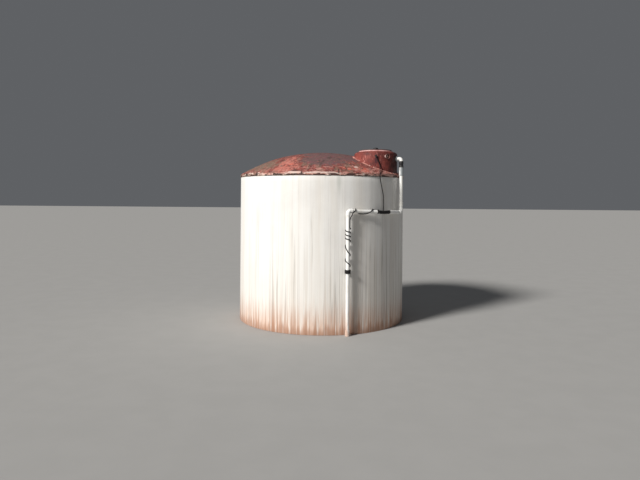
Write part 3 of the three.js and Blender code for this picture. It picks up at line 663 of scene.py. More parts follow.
def rimLaminate():
    # the strips at the wall's top: pale paint flakes above, dark along the lower edge
    tone = {"dark": (0.060, 0.038, 0.032), "brown": (0.19, 0.125, 0.092), "pale": (0.70, 0.545, 0.485),
            "pink": (0.56, 0.285, 0.235), "white": (0.80, 0.72, 0.65), "tan": (0.40, 0.33, 0.27)}
    grain = {"flakes": 26, "broad": 7, "strands": 150}
    mat = Nodes("rimLaminate", 0.8, specular=0.25)
    z = mat.axis("Z")
    x = mat.axis("X")
    flakes = mat.noise(grain["flakes"], mat.stretch((1, 1, 2.0)), detail=7, rough=0.7, distortion=0.4)
    broad = mat.noise(grain["broad"], mat.stretch((1, 1, 0.5), (2, 5, 0)), detail=5, rough=0.6)
    strands = mat.cells(grain["strands"], mat.stretch((1, 1, 0.3)))
    ragged = mat.range(flakes, 0.35, 0.65, -0.4, 0.4)
    mat.colour = tone["pale"]
    mat.layer(mat.range(broad, 0.44, 0.56), tone["pink"])
    mat.layer(mat.range(flakes, 0.54, 0.62, 0.0, 0.7), tone["white"])
    mat.layer(mat.range(flakes, 0.46, 0.38), tone["brown"])
    pale = mat.spots(rimMarks["pale"], 0.25, ragged)
    mat.layer(mat.times(pale, 0.9), tone["white"])
    # the front right stretch has lost its paint
    worn = mat.times(mat.range(x, 0.28, 0.34), mat.range(flakes, 0.60, 0.50))
    mat.layer(mat.times(worn, 0.8), tone["pink"])
    height = mat.sum("ADD", z, mat.times(ragged, 0.012))
    under = mat.range(height, 2.091, 2.101, 1.0, 0.0)
    mat.layer(mat.times(under, 0.85), tone["tan"])
    dark = mat.spots(rimMarks["dark"], 0.3, ragged)
    line = mat.sum("MAXIMUM", mat.times(under, mat.range(broad, 0.50, 0.58)), dark)
    left = mat.times(mat.range(x, -0.86, -0.80, 1.0, 0.0), mat.range(flakes, 0.57, 0.51))
    mat.layer(mat.times(left, 0.95), tone["brown"])
    mat.layer(line, tone["dark"])
    mat.bump(flakes, 0.6, 0.003)
    mat.bump(strands, 0.3, 0.0008)
    return mat.finish(mat.range(flakes, 0.3, 0.7, 0.9, 0.6))


def jointLaminate():
    # the strip at the neck's foot: salmon, worn to red, with crumbs of dirt
    tone = {"salmon": (0.66, 0.30, 0.245), "red": (0.26, 0.062, 0.050), "pale": (0.76, 0.52, 0.46),
            "dirt": (0.13, 0.070, 0.055)}
    grain = {"flakes": 30, "broad": 8}
    mat = Nodes("jointLaminate", 0.8, specular=0.25)
    flakes = mat.noise(grain["flakes"], detail=7, rough=0.7, distortion=0.4)
    broad = mat.noise(grain["broad"], detail=5, rough=0.6)
    mat.colour = tone["salmon"]
    mat.layer(mat.range(broad, 0.38, 0.60), tone["red"])
    mat.layer(mat.range(flakes, 0.52, 0.62), tone["pale"])
    mat.layer(mat.range(flakes, 0.42, 0.34, 0.0, 0.8), tone["dirt"])
    mat.bump(flakes, 0.6, 0.003)
    return mat.finish(mat.range(flakes, 0.3, 0.7, 0.9, 0.65))


def darkLid():
    # dark weathered cover with a faded pink-red rim
    tone = {"dark": (0.030, 0.018, 0.018), "brown": (0.085, 0.045, 0.042), "dust": (0.11, 0.085, 0.075),
            "red": (0.46, 0.17, 0.15), "pink": (0.68, 0.42, 0.40)}
    grain = {"mottle": 22, "dust": 5, "pores": 90}
    rimFrom = 0.2290         # the radius at which the faded rim starts
    mat = Nodes("darkLid", 0.6, specular=0.35)
    radius = mat.length(mat.stretch((1, 1, 0), (-neckCentre.x, -neckCentre.y, 0)))
    mottle = mat.noise(grain["mottle"], detail=6, rough=0.65)
    dust = mat.noise(grain["dust"], detail=6)
    mat.colour = tone["dark"]
    mat.layer(mat.range(mottle, 0.35, 0.65), tone["brown"])
    mat.layer(mat.range(dust, 0.5, 0.7, 0, 0.5), tone["dust"])
    faded = mat.mix(mat.range(mottle, 0.30, 0.60), tone["red"], tone["pink"])
    mat.layer(mat.range(radius, rimFrom, rimFrom + 0.0015), faded)
    mat.bump(mottle, 0.3, 0.002)
    mat.bump(mat.noise(grain["pores"], detail=3), 0.2, 0.0006)
    return mat.finish(mat.range(mottle, 0.3, 0.7, 0.48, 0.75))


def whitePipe(name="whitePipe", shadedFrom=None):
    # sun-bleached pipe plastic with dust and scuffs, and grey-blue painted shade to the right of a place
    tone = {"white": (0.88, 0.88, 0.86), "dust": (0.72, 0.69, 0.62), "scuff": (0.42, 0.38, 0.33),
            "soil": (0.55, 0.33, 0.23), "grime": (0.22, 0.25, 0.27)}
    grain = {"dust": 8, "scuffs": 60, "pores": 260}
    mat = Nodes(name, 0.42, specular=0.45)
    dust = mat.noise(grain["dust"], mat.stretch((1, 1, 0.5)), detail=6, rough=0.65)
    scuffs = mat.noise(grain["scuffs"], mat.stretch((1, 1, 0.25)), detail=5, rough=0.7)
    mat.colour = tone["white"]
    mat.layer(mat.range(dust, 0.45, 0.78), tone["dust"])
    mat.layer(mat.range(scuffs, 0.60, 0.70, 0, 0.5), tone["scuff"])
    foot = mat.range(mat.axis("Z"), 0.05, 0.45, 0.75, 0.0)
    mat.layer(mat.times(foot, mat.range(dust, 0.3, 0.6)), tone["soil"])
    if shadedFrom is not None:
        # painted shade: right of the given place the plastic is painted grey-blue
        across = mat.sum("ADD", mat.axis("X"), mat.range(scuffs, 0.35, 0.65, -0.006, 0.006))
        grimy = mat.range(across, shadedFrom - 0.030, shadedFrom - 0.004, 0.0, 0.85)
        mat.layer(grimy, tone["grime"])
    mat.bump(mat.noise(grain["pores"], detail=2), 0.08, 0.0004)
    mat.bump(scuffs, 0.12, 0.0006)
    return mat.finish(mat.range(scuffs, 0.4, 0.7, 0.36, 0.62))


def ventLitAndShaded():
    # the open socket: a thin strip of its left flank painted pale as lit, the rest painted dark brown as
    # shade
    tone = {"white": (0.62, 0.46, 0.43), "grime": (0.13, 0.055, 0.046), "inside": (0.20, 0.078, 0.064),
            "scale": (0.85, 0.66, 0.60)}
    grain = {"mottle": 60}
    mat = Nodes("ventLitAndShaded", 0.55, specular=0.35)
    way = around(vent["azimuth"], 1, 0)
    sideways = Vector((-way.y, way.x, 0))
    face = neck["radius"] + vent["length"]
    offset = mat.stretch((1, 1, 1), tuple(-neckAxis(vent["z"])))
    across = mat.vector("DOT_PRODUCT", offset, tuple(sideways), "Value")
    along = mat.vector("DOT_PRODUCT", offset, tuple(way), "Value")
    off = mat.length(mat.vector("CROSS_PRODUCT", offset, tuple(way)))
    mottle = mat.noise(grain["mottle"], detail=5, rough=0.65)
    # painted shade over all but the lit strip on the left flank, the mouth's face included
    ventShade = mat.range(mat.sum("ADD", across, mat.range(mottle, 0.3, 0.7, -0.004, 0.004)), -0.034, -0.028)
    ventShade = mat.sum("MAXIMUM", ventShade, mat.range(along, face - 0.008, face - 0.004))
    mat.colour = tone["white"]
    mat.layer(mat.times(ventShade, 0.92), tone["grime"])
    # the bore and its floor are painted brown, and the stub's top pale as a painted highlight
    bore = mat.range(off, vent["bore"], vent["bore"] + 0.0004, 1.0, 0.0)
    deep = face - vent["depth"]
    inside = mat.times(bore, mat.range(along, deep + 0.006, deep + 0.008))
    boreFloor = mat.times(mat.range(off, vent["stub"] - 0.0005, vent["stub"] + 0.0005), bore)
    mat.layer(mat.sum("MAXIMUM", inside, boreFloor), tone["inside"])
    # painted highlight: the stub's top is painted pale
    stub = mat.range(off, vent["stub"], vent["stub"] + 0.0006, 1.0, 0.0)
    mat.layer(mat.times(stub, mat.range(mottle, 0.32, 0.48)), tone["scale"])
    mat.bump(mottle, 0.2, 0.0008)
    return mat.finish(mat.range(mottle, 0.3, 0.7, 0.45, 0.75))


def blackRubber(name, ribs=0.0, way=None):
    # matt black rubber with dust in its pores, and the lay of the cloth in a hose
    tone = {"black": (0.010, 0.009, 0.010), "dust": (0.040, 0.032, 0.030)}
    grain = {"dust": 30, "pores": 350}
    mat = Nodes(name, 0.7, specular=0.3)
    dust = mat.noise(grain["dust"], detail=6, rough=0.65)
    mat.colour = tone["black"]
    mat.layer(mat.range(dust, 0.45, 0.8), tone["dust"])
    mat.bump(mat.noise(grain["pores"], detail=3), 0.25, 0.0004)
    if way is not None:
        along = mat.vector("DOT_PRODUCT", mat.coords, way, "Value")
        mat.bump(mat.sum("SINE", mat.times(along, ribs)), 0.35, 0.0012)
    return mat.finish(mat.range(dust, 0.3, 0.7, 0.58, 0.82))


def blackPlastic():
    # matt moulded plastic, dusty
    tone = {"black": (0.018, 0.018, 0.020), "dust": (0.085, 0.078, 0.070)}
    grain = {"dust": 24, "pores": 300}
    mat = Nodes("blackPlastic", 0.5, specular=0.4)
    dust = mat.noise(grain["dust"], detail=6, rough=0.65)
    mat.colour = tone["black"]
    mat.layer(mat.range(dust, 0.45, 0.8), tone["dust"])
    mat.bump(mat.noise(grain["pores"], detail=2), 0.15, 0.0004)
    return mat.finish(mat.range(dust, 0.3, 0.7, 0.40, 0.65))


def clampSteel():
    # dull worm-drive band steel, brown with rust and dust, and made darker as painted shade
    tone = {"dull": (0.075, 0.074, 0.075), "worn": (0.15, 0.148, 0.145), "rust": (0.055, 0.034, 0.026)}
    grain = {"brush": 120, "rust": 45}
    mat = Nodes("clampSteel", 0.45, metallic=1.0)
    brush = mat.noise(grain["brush"], mat.stretch((1, 1, 6)), detail=4)
    rust = mat.noise(grain["rust"], detail=6, rough=0.7)
    mat.colour = tone["dull"]
    mat.layer(mat.range(brush, 0.3, 0.7), tone["worn"])
    mat.layer(mat.range(rust, 0.44, 0.56, 0, 0.85), tone["rust"])
    mat.bump(brush, 0.1, 0.0003)
    return mat.finish(mat.range(rust, 0.4, 0.7, 0.40, 0.8))


vent = {"azimuth": 24, "z": 2.372, "radius": 0.035, "bore": 0.029, "length": 0.036, "depth": 0.030,
        "back": 0.056, "collar": 0.0195, "stub": 0.012, "stubHeight": 0.015}

wallFinish = wallGelcoat()
domeFinish = domeGelcoat()
neckFinish = neckGelcoat()
rimFinish = rimLaminate()
jointFinish = jointLaminate()
lidFinish = darkLid()
pipeFinish = whitePipe()
# painted shade on the coupling's right half, and on the whole inlet fitting
couplingFinish = whitePipe("couplingPlastic", shadedFrom=inletCorner.x)
fittingFinish = whitePipe("fittingPlastic", shadedFrom=0.0)
ventFinish = ventLitAndShaded()
rubberFinish = blackRubber("blackRubber")
hoseFinish = blackRubber("hoseRubber", hose["ribs"], tuple((hoseLeft - hoseRight).normalized()))
plasticFinish = blackPlastic()
steelFinish = clampSteel()
print("finishes made")


# cords: the float cable, then its turns on the pipe

gland = {"z": 2.376, "azimuth": -5, "standoff": 0.022, "rear": 0.015, "reach": 0.020, "stub": 0.011,
         "body": 0.0125, "nut": 0.0140}
cable = {
    "radius": 0.0065,
    "winding": 0.032,        # from the pipe's axis to the cable's
    "seam": 0.001,           # between the hanging stretch and the winding
    "spacing": 0.012,
    "sides": 16,
    "woundSpacing": 0.008,
    "woundSides": 12,
    # down the neck's side, over the roof's edge and down the wall: azimuth, radius and height
    "route": [(44.7, 1.1215, 2.262), (44.8, 1.130, 2.234), (44.0, 1.143, 2.208), (42.9, 1.162, 2.1865),
              (41.7, 1.185, 2.170), (40.5, 1.208, 2.156), (39.6, 1.228, 2.137), (39.1, 1.2385, 2.112),
              (39.0, 1.2425, 2.082), (39.1, 1.243, 2.050), (39.9, 1.242, 1.990), (41.0, 1.2415, 1.910),
              (41.9, 1.243, 1.830), (41.9, 1.248, 1.750), (41.6, 1.2545, 1.690)],
    # behind the hose to its left end: share of its length, degrees from the top and distance from its axis
    "onHose": [(0.395, -38, 0.050), (0.41, -57, 0.0365), (0.436, -82, 0.0325), (0.478, -102, 0.0335),
               (0.535, -115, 0.035), (0.61, -119, 0.0355), (0.69, -112, 0.034), (0.77, -96, 0.033),
               (0.84, -76, 0.033), (0.9, -73, 0.033), (0.95, -70.5, 0.033), (0.985, -66, 0.0324)],
    # round the left cross pipe: distance from the hose and degrees from the top, a stop every 24 degrees
    "crossStep": 24,
    "crossPipe": [(0.006, -58), (0.014, -52), (0.030, -42), (0.050, -28), (0.066, -6), (0.080, 28),
                  (0.097, 62), (0.112, 88), (0.134, 115), (0.170, 150), (0.200, 180), (0.236, 190),
                  (0.264, 207), (0.294, 268), (0.320, 345), (0.342, 425), (0.351, 450)],
    # across the corner to the riser: offsets from its axis, and height
    "slack": [(0.061, -0.015, 1.598), (0.050, -0.017, 1.571), (0.034, -0.014, 1.543),
              (0.024, -0.0215, 1.515), (0.022, -0.0233, 1.490), (0.022, -0.0233, 1.440)],
    # turns from the riser's right side, through its back, and height, a stop every 0.07 of a turn
    "riserStep": 0.07,
    "riser": [(-0.13, 1.412), (-0.05, 1.395), (1, 1.345), (2, 1.292), (2.75, 1.258), (3, 1.238),
              (3.5, 1.167), (3.75, 1.092), (4, 1.052), (4.5, 0.986), (4.75, 0.950), (5, 0.912),
              (5.2, 0.888), (5.25, 0.876), (5.25, 0.868), (5.25, 0.8606)],
}

glandOut = around(gland["azimuth"], 1, 0)
glandElbow = neckAxis(gland["z"]) + glandOut * (neck["radius"] + gland["standoff"])
firstStop = around(*cable["route"][0])
cableWay = (firstStop - glandElbow).normalized()
cableExit = glandElbow + cableWay * (gland["reach"] + hair)


def onCrossPipe(along, degrees):
    return besidePipe(hoseLeft + leftWay * along, leftWay, degrees, cable["winding"])


def onRiser(turn, z):
    angle = 2 * math.pi * turn
    return Vector((leftCorner.x + cable["winding"] * math.cos(angle),
                   leftCorner.y + cable["winding"] * math.sin(angle), z))


def between(stops, step, which):
    # the stops of a list, with more in between where the first (0) or second (1) value changes fast
    filled = []
    for start, end in zip(stops, stops[1:]):
        steps = max(1, round(abs(end[which] - start[which]) / step))
        filled += [tuple(a + (b - a) * i / steps for a, b in zip(start, end)) for i in range(steps)]
    return [*filled, stops[-1]]


along, degrees = cable["crossPipe"][0]
cableEnd = onCrossPipe(along - cable["seam"], degrees - math.degrees(cable["seam"] / cable["winding"]))
cablePoints = [cableExit, cableExit.lerp(firstStop, 0.5)]
cablePoints += [around(*stop) for stop in cable["route"]]
cablePoints += [besidePipe(hosePoint(share), hoseWay(share), *rest) for share, *rest in cable["onHose"]]
cablePoints.append(cableEnd)
cableRoute, cableLength = smoothRoute(cablePoints, cable["spacing"])
floatCable = tube("floatCable", cableRoute, cable["radius"], cable["sides"])
dress(floatCable, rubberFinish, "tank", "black_rubber", "float_cable")
print("float cable:", round(cableLength, 3), "m")

woundPoints = [cableEnd]
woundPoints += [onCrossPipe(*stop) for stop in between(cable["crossPipe"], cable["crossStep"], 1)]
woundPoints += [Vector((leftCorner.x + x, leftCorner.y + y, z)) for x, y, z in cable["slack"]]
woundPoints += [onRiser(*stop) for stop in between(cable["riser"], cable["riserStep"], 0)]
woundRoute, woundLength = smoothRoute(woundPoints, cable["woundSpacing"])
woundCable = tube("woundCable", woundRoute, cable["radius"], cable["woundSides"])
dress(woundCable, rubberFinish, "tank", "black_rubber", "cable_on_cross_pipe", "cable_on_riser")
print("wound cable:", round(woundLength, 3), "m")


# tank wall and floor

wall = {"radius": 1.220, "bottom": 0.0103, "top": 2.085, "thickness": 0.008, "sides": 420, "rows": 26,
        "edge": 0.0015,
        "flute": 0.0026, "flutes": (6.5, 15), "seed": 7}   # how deep, and how close in the two sizes
floor = {"radius": 1.219, "height": 0.010}


def wallWave(point):
    # the hand-laid wall is fluted a little
    across = Vector((point.x, point.y, 0))
    shift = Vector((wall["seed"], 0, 0))
    broad, narrow = wall["flutes"]
    wave = noise.noise(across * broad + shift) * 0.6 + noise.noise(across * narrow + shift) * 0.4
    depth = wall["flute"] * min(1.0, max(0.0, 0.5 + wave))
    point.x *= 1 - depth / wall["radius"]
    point.y *= 1 - depth / wall["radius"]


tankWall = drawnUp("tankWall", wall["sides"], wall["radius"], wall["bottom"], wall["top"], wall["rows"],
                   wallWave)
addModifier(tankWall, "SOLIDIFY", thickness=wall["thickness"], offset=-1.0, use_even_offset=True)
softEdge(tankWall, wall["edge"], 60)
smooth(tankWall, 30)
dress(tankWall, wallFinish, "tank", "white_gelcoat", *[f"wall_segment_{i:02d}" for i in range(1, 13)])

edge = floor["radius"]
floorProfile = [(0, 0), (edge - 0.006, 0), (edge - 0.0025, 0.0012), (edge - 0.0002, 0.004),
                (edge, floor["height"]), (0, floor["height"])]
tankFloor = turned("tankFloor", floorProfile, 180)
dress(tankFloor, wallFinish, "tank", "white_gelcoat", "tank_floor")
print("wall and floor made")


# domed roof

def domeCurve(count, inset=0.0):
    points = []
    for i in range(count + 1):
        radius = dome["firstRadius"] * (1 - i / count)
        points.append((max(0.0, radius - (inset if i < count else 0)), domeZ(radius) - inset))
    return points


def kneeCurve():
    # from the skirt's top to the first point of the dome
    return [tuple(kneePoint(share)) for share in (1, 0.75, 0.5, 0.25)]


def buildDome():
    inner = dome["radius"] - dome["shell"]
    lining = domeCurve(dome["liningRows"], dome["knee"])[::-1]
    profile = [*lining, (inner, dome["skirtBottom"]), (dome["radius"], dome["skirtBottom"])]
    piece = turned("domeRoof", [*profile, *kneeCurve(), *domeCurve(dome["rows"])], 180)
    shift = Vector((4, 9, 2))
    for vertex in piece.data.vertices:
        # the hand-laid shell is a little uneven
        if vertex.co.z > dome["skirtTop"] + 0.02:
            vertex.co.z -= dome["uneven"] * (0.5 + 0.5 * noise.noise(vertex.co * dome["waves"] + shift))
    low, high, radius = 2.0, 2.6, dome["manhole"]
    cut(piece, turned("manhole", [(0, low), (radius, low), (radius, high), (0, high)], 96, neckCentre))
    return smooth(piece, 40)


domeRoof = buildDome()
dress(domeRoof, domeFinish, "tank", "red_gelcoat", "dome_roof")
print("dome made")


# flaking laminate where the roof meets the wall

rim = {"inner": 1.2203, "thickness": 0.0038, "bottom": 2.0850, "top": 2.1215, "sides": 640, "rows": 6,
       "chips": (9, 30), "bareStretches": 2.6, "seed": 3,   # how close they lie: round the tank, and up
       "loss": 0.26,                                        # less makes more of them
       "ragged": 0.004, "raggedness": (40, 60)}             # how far an edge wanders, and how often


def flakeOff(piece):
    # flakes have fallen off, mostly from the lower edge, and bare stretches are left
    shift = Vector((rim["seed"], 5, 0))
    sideways, upwards = rim["chips"]
    broad = rim["bareStretches"]
    for face in piece.data.polygons:
        where = Vector(face.center)
        low = 1 - (where.z - rim["bottom"]) / (rim["top"] - rim["bottom"])
        chip = noise.noise(Vector((where.x * sideways, where.y * sideways, where.z * upwards)) + shift)
        gone = noise.noise(Vector((where.x * broad, where.y * broad, 1)) + shift)
        face.select = chip + 0.5 * gone + 0.35 * (low - 0.5) > rim["loss"]
    bpy.ops.object.mode_set(mode="EDIT")
    bpy.ops.mesh.delete(type="FACE")
    bpy.ops.mesh.select_mode(type="VERT")
    bpy.ops.mesh.select_all(action="SELECT")
    bpy.ops.mesh.delete_loose()
    tidyMesh()


def buildRimBand():
    piece = drawnUp("rimBand", rim["sides"], rim["inner"], rim["bottom"], rim["top"], rim["rows"])
    pick(piece)
    bpy.ops.object.mode_set(mode="EDIT")
    bpy.ops.mesh.select_mode(type="FACE")
    bpy.ops.mesh.select_all(action="DESELECT")
    bpy.ops.object.mode_set(mode="OBJECT")
    flakeOff(piece)
    sideways, upwards = rim["raggedness"]
    for vertex in piece.data.vertices:
        # the upper edge and the chips' edges wander
        x, y, z = vertex.co
        ragged = noise.noise(Vector((x * sideways, y * sideways, z * upwards)))
        vertex.co.z = max(rim["bottom"], min(rim["top"], z + rim["ragged"] * ragged))
    addModifier(piece, "SOLIDIFY", thickness=rim["thickness"], offset=1.0)
    return smooth(piece, 50)


rimBand = buildRimBand()
dress(rimBand, rimFinish, "tank", "bare_laminate", "rim_band_1", "rim_band_2", "rim_band_3", "rim_band_4")
print("rim band made")


# manway neck, its joint to the roof, and the lid

joint = {"width": 0.0300, "height": 0.0088, "ragged": 0.006, "bury": 0.001, "lump": 0.35, "lumps": (9, 30)}


def shoulderPoint(share, inset=0.0):
    angle = math.pi / 2 * share
    radius = neck["flangeOuter"] + (neck["radius"] - neck["flangeOuter"]) * math.cos(angle)
    height = neck["shoulderZ"] + (neck["topZ"] - neck["shoulderZ"]) * math.sin(angle)
    return radius - inset * math.cos(angle), height - inset * math.sin(angle)


def buildNeck():
    thick, top, lip, foot = neck["thickness"], neck["topZ"], neck["flangeInner"], neck["footZ"]
    side, lining, low = neck["radius"], neck["radius"] - thick, 1.9
    outer = [shoulderPoint(i / 12) for i in range(13)]
    inner = [shoulderPoint(i / 12, thick) for i in range(12, -1, -1)]
    profile = [(lining, foot), (side, foot), (side, neck["sideZ"]), *outer, (lip + 0.002, top),
               (lip, top - 0.002), (lip, top - thick), *inner, (lining, foot)]
    piece = turned("manwayNeck", profile, 128, neckCentre)
    under = [(0, low), (dome["radius"], low), *kneeCurve(), *domeCurve(40)]
    cut(piece, turned("underDome", under, 160))
    return smooth(piece, 40)


def buildJointStrip():
    # a wedge of laminate round the neck's foot, feathered out on the roof
    base, wide, high, deep = neck["radius"] + hair, joint["width"], joint["height"], -joint["bury"]
    slope = [(0, 0.9), (0.13, 1), (0.40, 0.84), (0.67, 0.66), (0.87, 0.40), (1, 0.14)]
    profile = [(base, deep), *[(base + wide * out, high * over) for out, over in slope],
               (base + wide, deep), (base, deep)]
    piece = turned("neckJoint", profile, 240, neckCentre)
    sideways, upwards = joint["lumps"]
    for vertex in piece.data.vertices:
        out = Vector((vertex.co.x - neckCentre.x, vertex.co.y - neckCentre.y, 0))
        lump = noise.noise(out.normalized() * sideways + Vector((0, 0, vertex.co.z * upwards)))
        reach = out.length - base
        if reach > 0.001:
            out *= 1 + (joint["ragged"] * lump * min(1, reach / 0.01)) / out.length
        height = max(0.0, vertex.co.z) * (1 + joint["lump"] * lump) + min(0.0, vertex.co.z)
        x, y = neckCentre.x + out.x, neckCentre.y + out.y
        inwards = min(1.0, (dome["radius"] - 0.0004) / math.hypot(x, y))
        vertex.co = (x * inwards, y * inwards, roofZ(math.hypot(x, y) * inwards) + height)
    return smooth(piece, 50)


manwayNeck = buildNeck()
dress(manwayNeck, neckFinish, "tank", "red_gelcoat", "neck_wall", "neck_shoulder")
neckJoint = buildJointStrip()
dress(neckJoint, jointFinish, "tank", "bare_laminate", "neck_joint_band")
print("neck made")

lid = {"bottom": 2.4503, "rimRadius": 0.240, "rimHeight": 0.014, "crownRadius": 0.229, "height": 0.030,
       "recessRadius": 0.206, "recessDepth": 0.010, "grooveRadius": 0.155, "knobRadius": 0.034,
       "knobHeight": 0.036}


def buildLid():
    edge, crown, high, step = lid["rimRadius"], lid["crownRadius"], lid["height"], lid["rimHeight"]
    recess, groove = lid["recessRadius"], lid["grooveRadius"]
    profile = [(0, lid["recessDepth"]), (recess - 0.002, lid["recessDepth"]), (recess, 0.008), (recess, 0),
               (edge - 0.0015, 0), (edge, 0.0015), (edge, step - 0.0035), (edge - 0.0012, step - 0.001),
               (edge - 0.004, step), (crown + 0.003, step), (crown, step + 0.0012), (crown - 0.002, 0.0225),
               (crown - 0.005, 0.0270), (crown - 0.012, 0.0288), (groove + 0.010, 0.0294),
               (groove + 0.006, 0.0282), (groove - 0.002, 0.0282), (groove - 0.006, 0.0295),
               (0.060, 0.0298), (0.045, high), (0, high)]
    return turned("manwayLid", profile, 128, neckAxis(lid["bottom"]))


def buildKnob():
    wide, high = lid["knobRadius"], lid["knobHeight"]
    profile = [(0, 0), (0.0165, 0), (0.0155, 0.0025), (0.0150, high * 0.27), (0.0200, high * 0.37),
               (wide - 0.003, high * 0.44), (wide, high * 0.50), (wide, high * 0.68),
               (wide - 0.002, high * 0.79), (wide * 0.8, high * 0.90), (wide * 0.45, high), (0, high)]
    return turned("lidKnob", profile, 40, neckAxis(lid["bottom"] + lid["height"] + hair))


dress(buildLid(), lidFinish, "lid", "dark_lid", "manway_lid")
dress(buildKnob(), plasticFinish, "lid", "black_plastic", "lid_knob")
print("lid made")


# fittings in the neck's side

inlet = {"flangeRadius": 0.037, "flangeDepth": 0.016, "flangeBack": 0.026, "nutRadius": 0.036,
         "nutDepth": 0.014, "nutStandoff": 0.004, "stubEnd": 0.008, "threads": 5, "pitch": 0.0035}


def insideNeck():
    # a cutter as wide as the neck, to fit a piece to its side
    radius, low, high = neck["radius"] + hair, 2.1, 2.46
    return turned("insideNeck", [(0, low), (radius, low), (radius, high), (0, high)], 128, neckCentre)


def rounded(radius, start, end, edge):
    # a rod's profile with its edges taken off
    return [(0, start), (radius - edge, start), (radius, start + edge), (radius, end - edge),
            (radius - edge, end), (0, end)]


def buildInletFitting():
    axis, out = neckAxis(run["inletZ"]), -toNeck
    face = neck["radius"] + inlet["flangeDepth"]
    wide, back = inlet["flangeRadius"], face - inlet["flangeBack"]
    profile = [(0, back), (wide, back), (wide, face - 0.004), (wide - 0.0015, face - 0.001),
               (wide - 0.004, face), (0, face)]
    flange = cut(turned("inletFitting", profile, 48, axis, out), insideNeck())
    nutFace = neck["radius"] - neck["thickness"] - inlet["nutStandoff"]
    nutBack = nutFace - inlet["nutDepth"]
    nut = turned("nut", rounded(inlet["nutRadius"], nutBack, nutFace, 0.002), 6, axis, out)
    stubProfile = rounded(run["pipeRadius"], nutBack - inlet["stubEnd"], face - 0.002, 0.0007)
    stub = turned("stub", stubProfile, 40, axis, out)
    return smooth(fuse(flange, nut, stub), 30)


def buildNipple():
    radius = run["pipeRadius"]
    start = neck["radius"] + inlet["flangeDepth"] + hair
    end = inletDistance - smallElbow["arm"] - hair
    profile = [(0, start), (radius, start), (radius, start + 0.006)]
    for turn in range(inlet["threads"]):
        thread = start + 0.008 + turn * inlet["pitch"]
        profile += [(radius - 0.00075, thread), (radius, thread + 0.0017)]
    return turned("inletNipple", [*profile, (radius, end), (0, end)], 40, neckAxis(run["inletZ"]), -toNeck)


def buildVentSocket():
    # an open socket with a short stub standing on its floor
    out = around(vent["azimuth"], 1, 0)
    face = neck["radius"] + vent["length"]
    wide, bore, floorFace, back = vent["radius"], vent["bore"], face - vent["depth"], face - vent["back"]
    stub, stubTop = vent["stub"], floorFace + vent["stubHeight"]
    profile = [(0, back), (wide - 0.003, back), (wide - 0.003, face - vent["collar"] - 0.002),
               (wide, face - vent["collar"]), (wide, face - 0.0025), (wide - 0.0012, face),
               (bore + 0.0012, face), (bore, face - 0.0015), (bore - 0.001, floorFace), (stub, floorFace),
               (stub, stubTop - 0.001), (stub - 0.003, stubTop), (stub - 0.004, floorFace + 0.004),
               (0, floorFace + 0.004)]
    piece = cut(turned("ventSocket", profile, 40, neckAxis(vent["z"]), out), insideNeck())
    return smooth(piece, 30)


def buildGland():
    # a stub out of the neck, a domed body on it, and a six-sided nut along the cable
    start = neck["radius"] - 0.010
    end = neck["radius"] + gland["standoff"] + 0.007
    stubProfile = rounded(gland["stub"], start, end, 0.0015)
    stub = cut(turned("cableGland", stubProfile, 24, neckAxis(gland["z"]), glandOut), insideNeck())
    rear, reach, wide, across = -gland["rear"], gland["reach"], gland["body"], gland["nut"]
    bodyProfile = [(0, rear), (wide - 0.0035, rear + 0.001), (wide, rear + 0.005), (wide, 0.004),
                   (wide - 0.002, 0.006), (wide - 0.002, 0.008), (0, 0.008)]
    nutProfile = [(0, 0.006), (across - 0.0012, 0.006), (across, 0.0075), (across, 0.0150),
                  (across - 0.0025, reach - 0.0015), (across - 0.0045, reach), (0, reach)]
    body = turned("glandBody", bodyProfile, 24, glandElbow, cableWay)
    nut = turned("glandNut", nutProfile, 6, glandElbow, cableWay)
    return smooth(fuse(stub, body, nut), 30)


dress(buildInletFitting(), fittingFinish, "tank", "white_pipe", "inlet_fitting")
dress(buildNipple(), pipeFinish, "tank", "white_pipe", "inlet_nipple")
dress(buildVentSocket(), ventFinish, "tank", "white_pipe", "vent_socket")
dress(buildGland(), plasticFinish, "tank", "black_plastic", "cable_gland")
print("neck fittings made")


# fill pipe

def buildPipe(name, start, end, node):
    way = end - start
    profile = rounded(run["pipeRadius"], hair, way.length - hair, 0.001)
    piece = turned(name, profile, 40, start, way.normalized())
    return dress(piece, pipeFinish, "tank", "white_pipe", node)


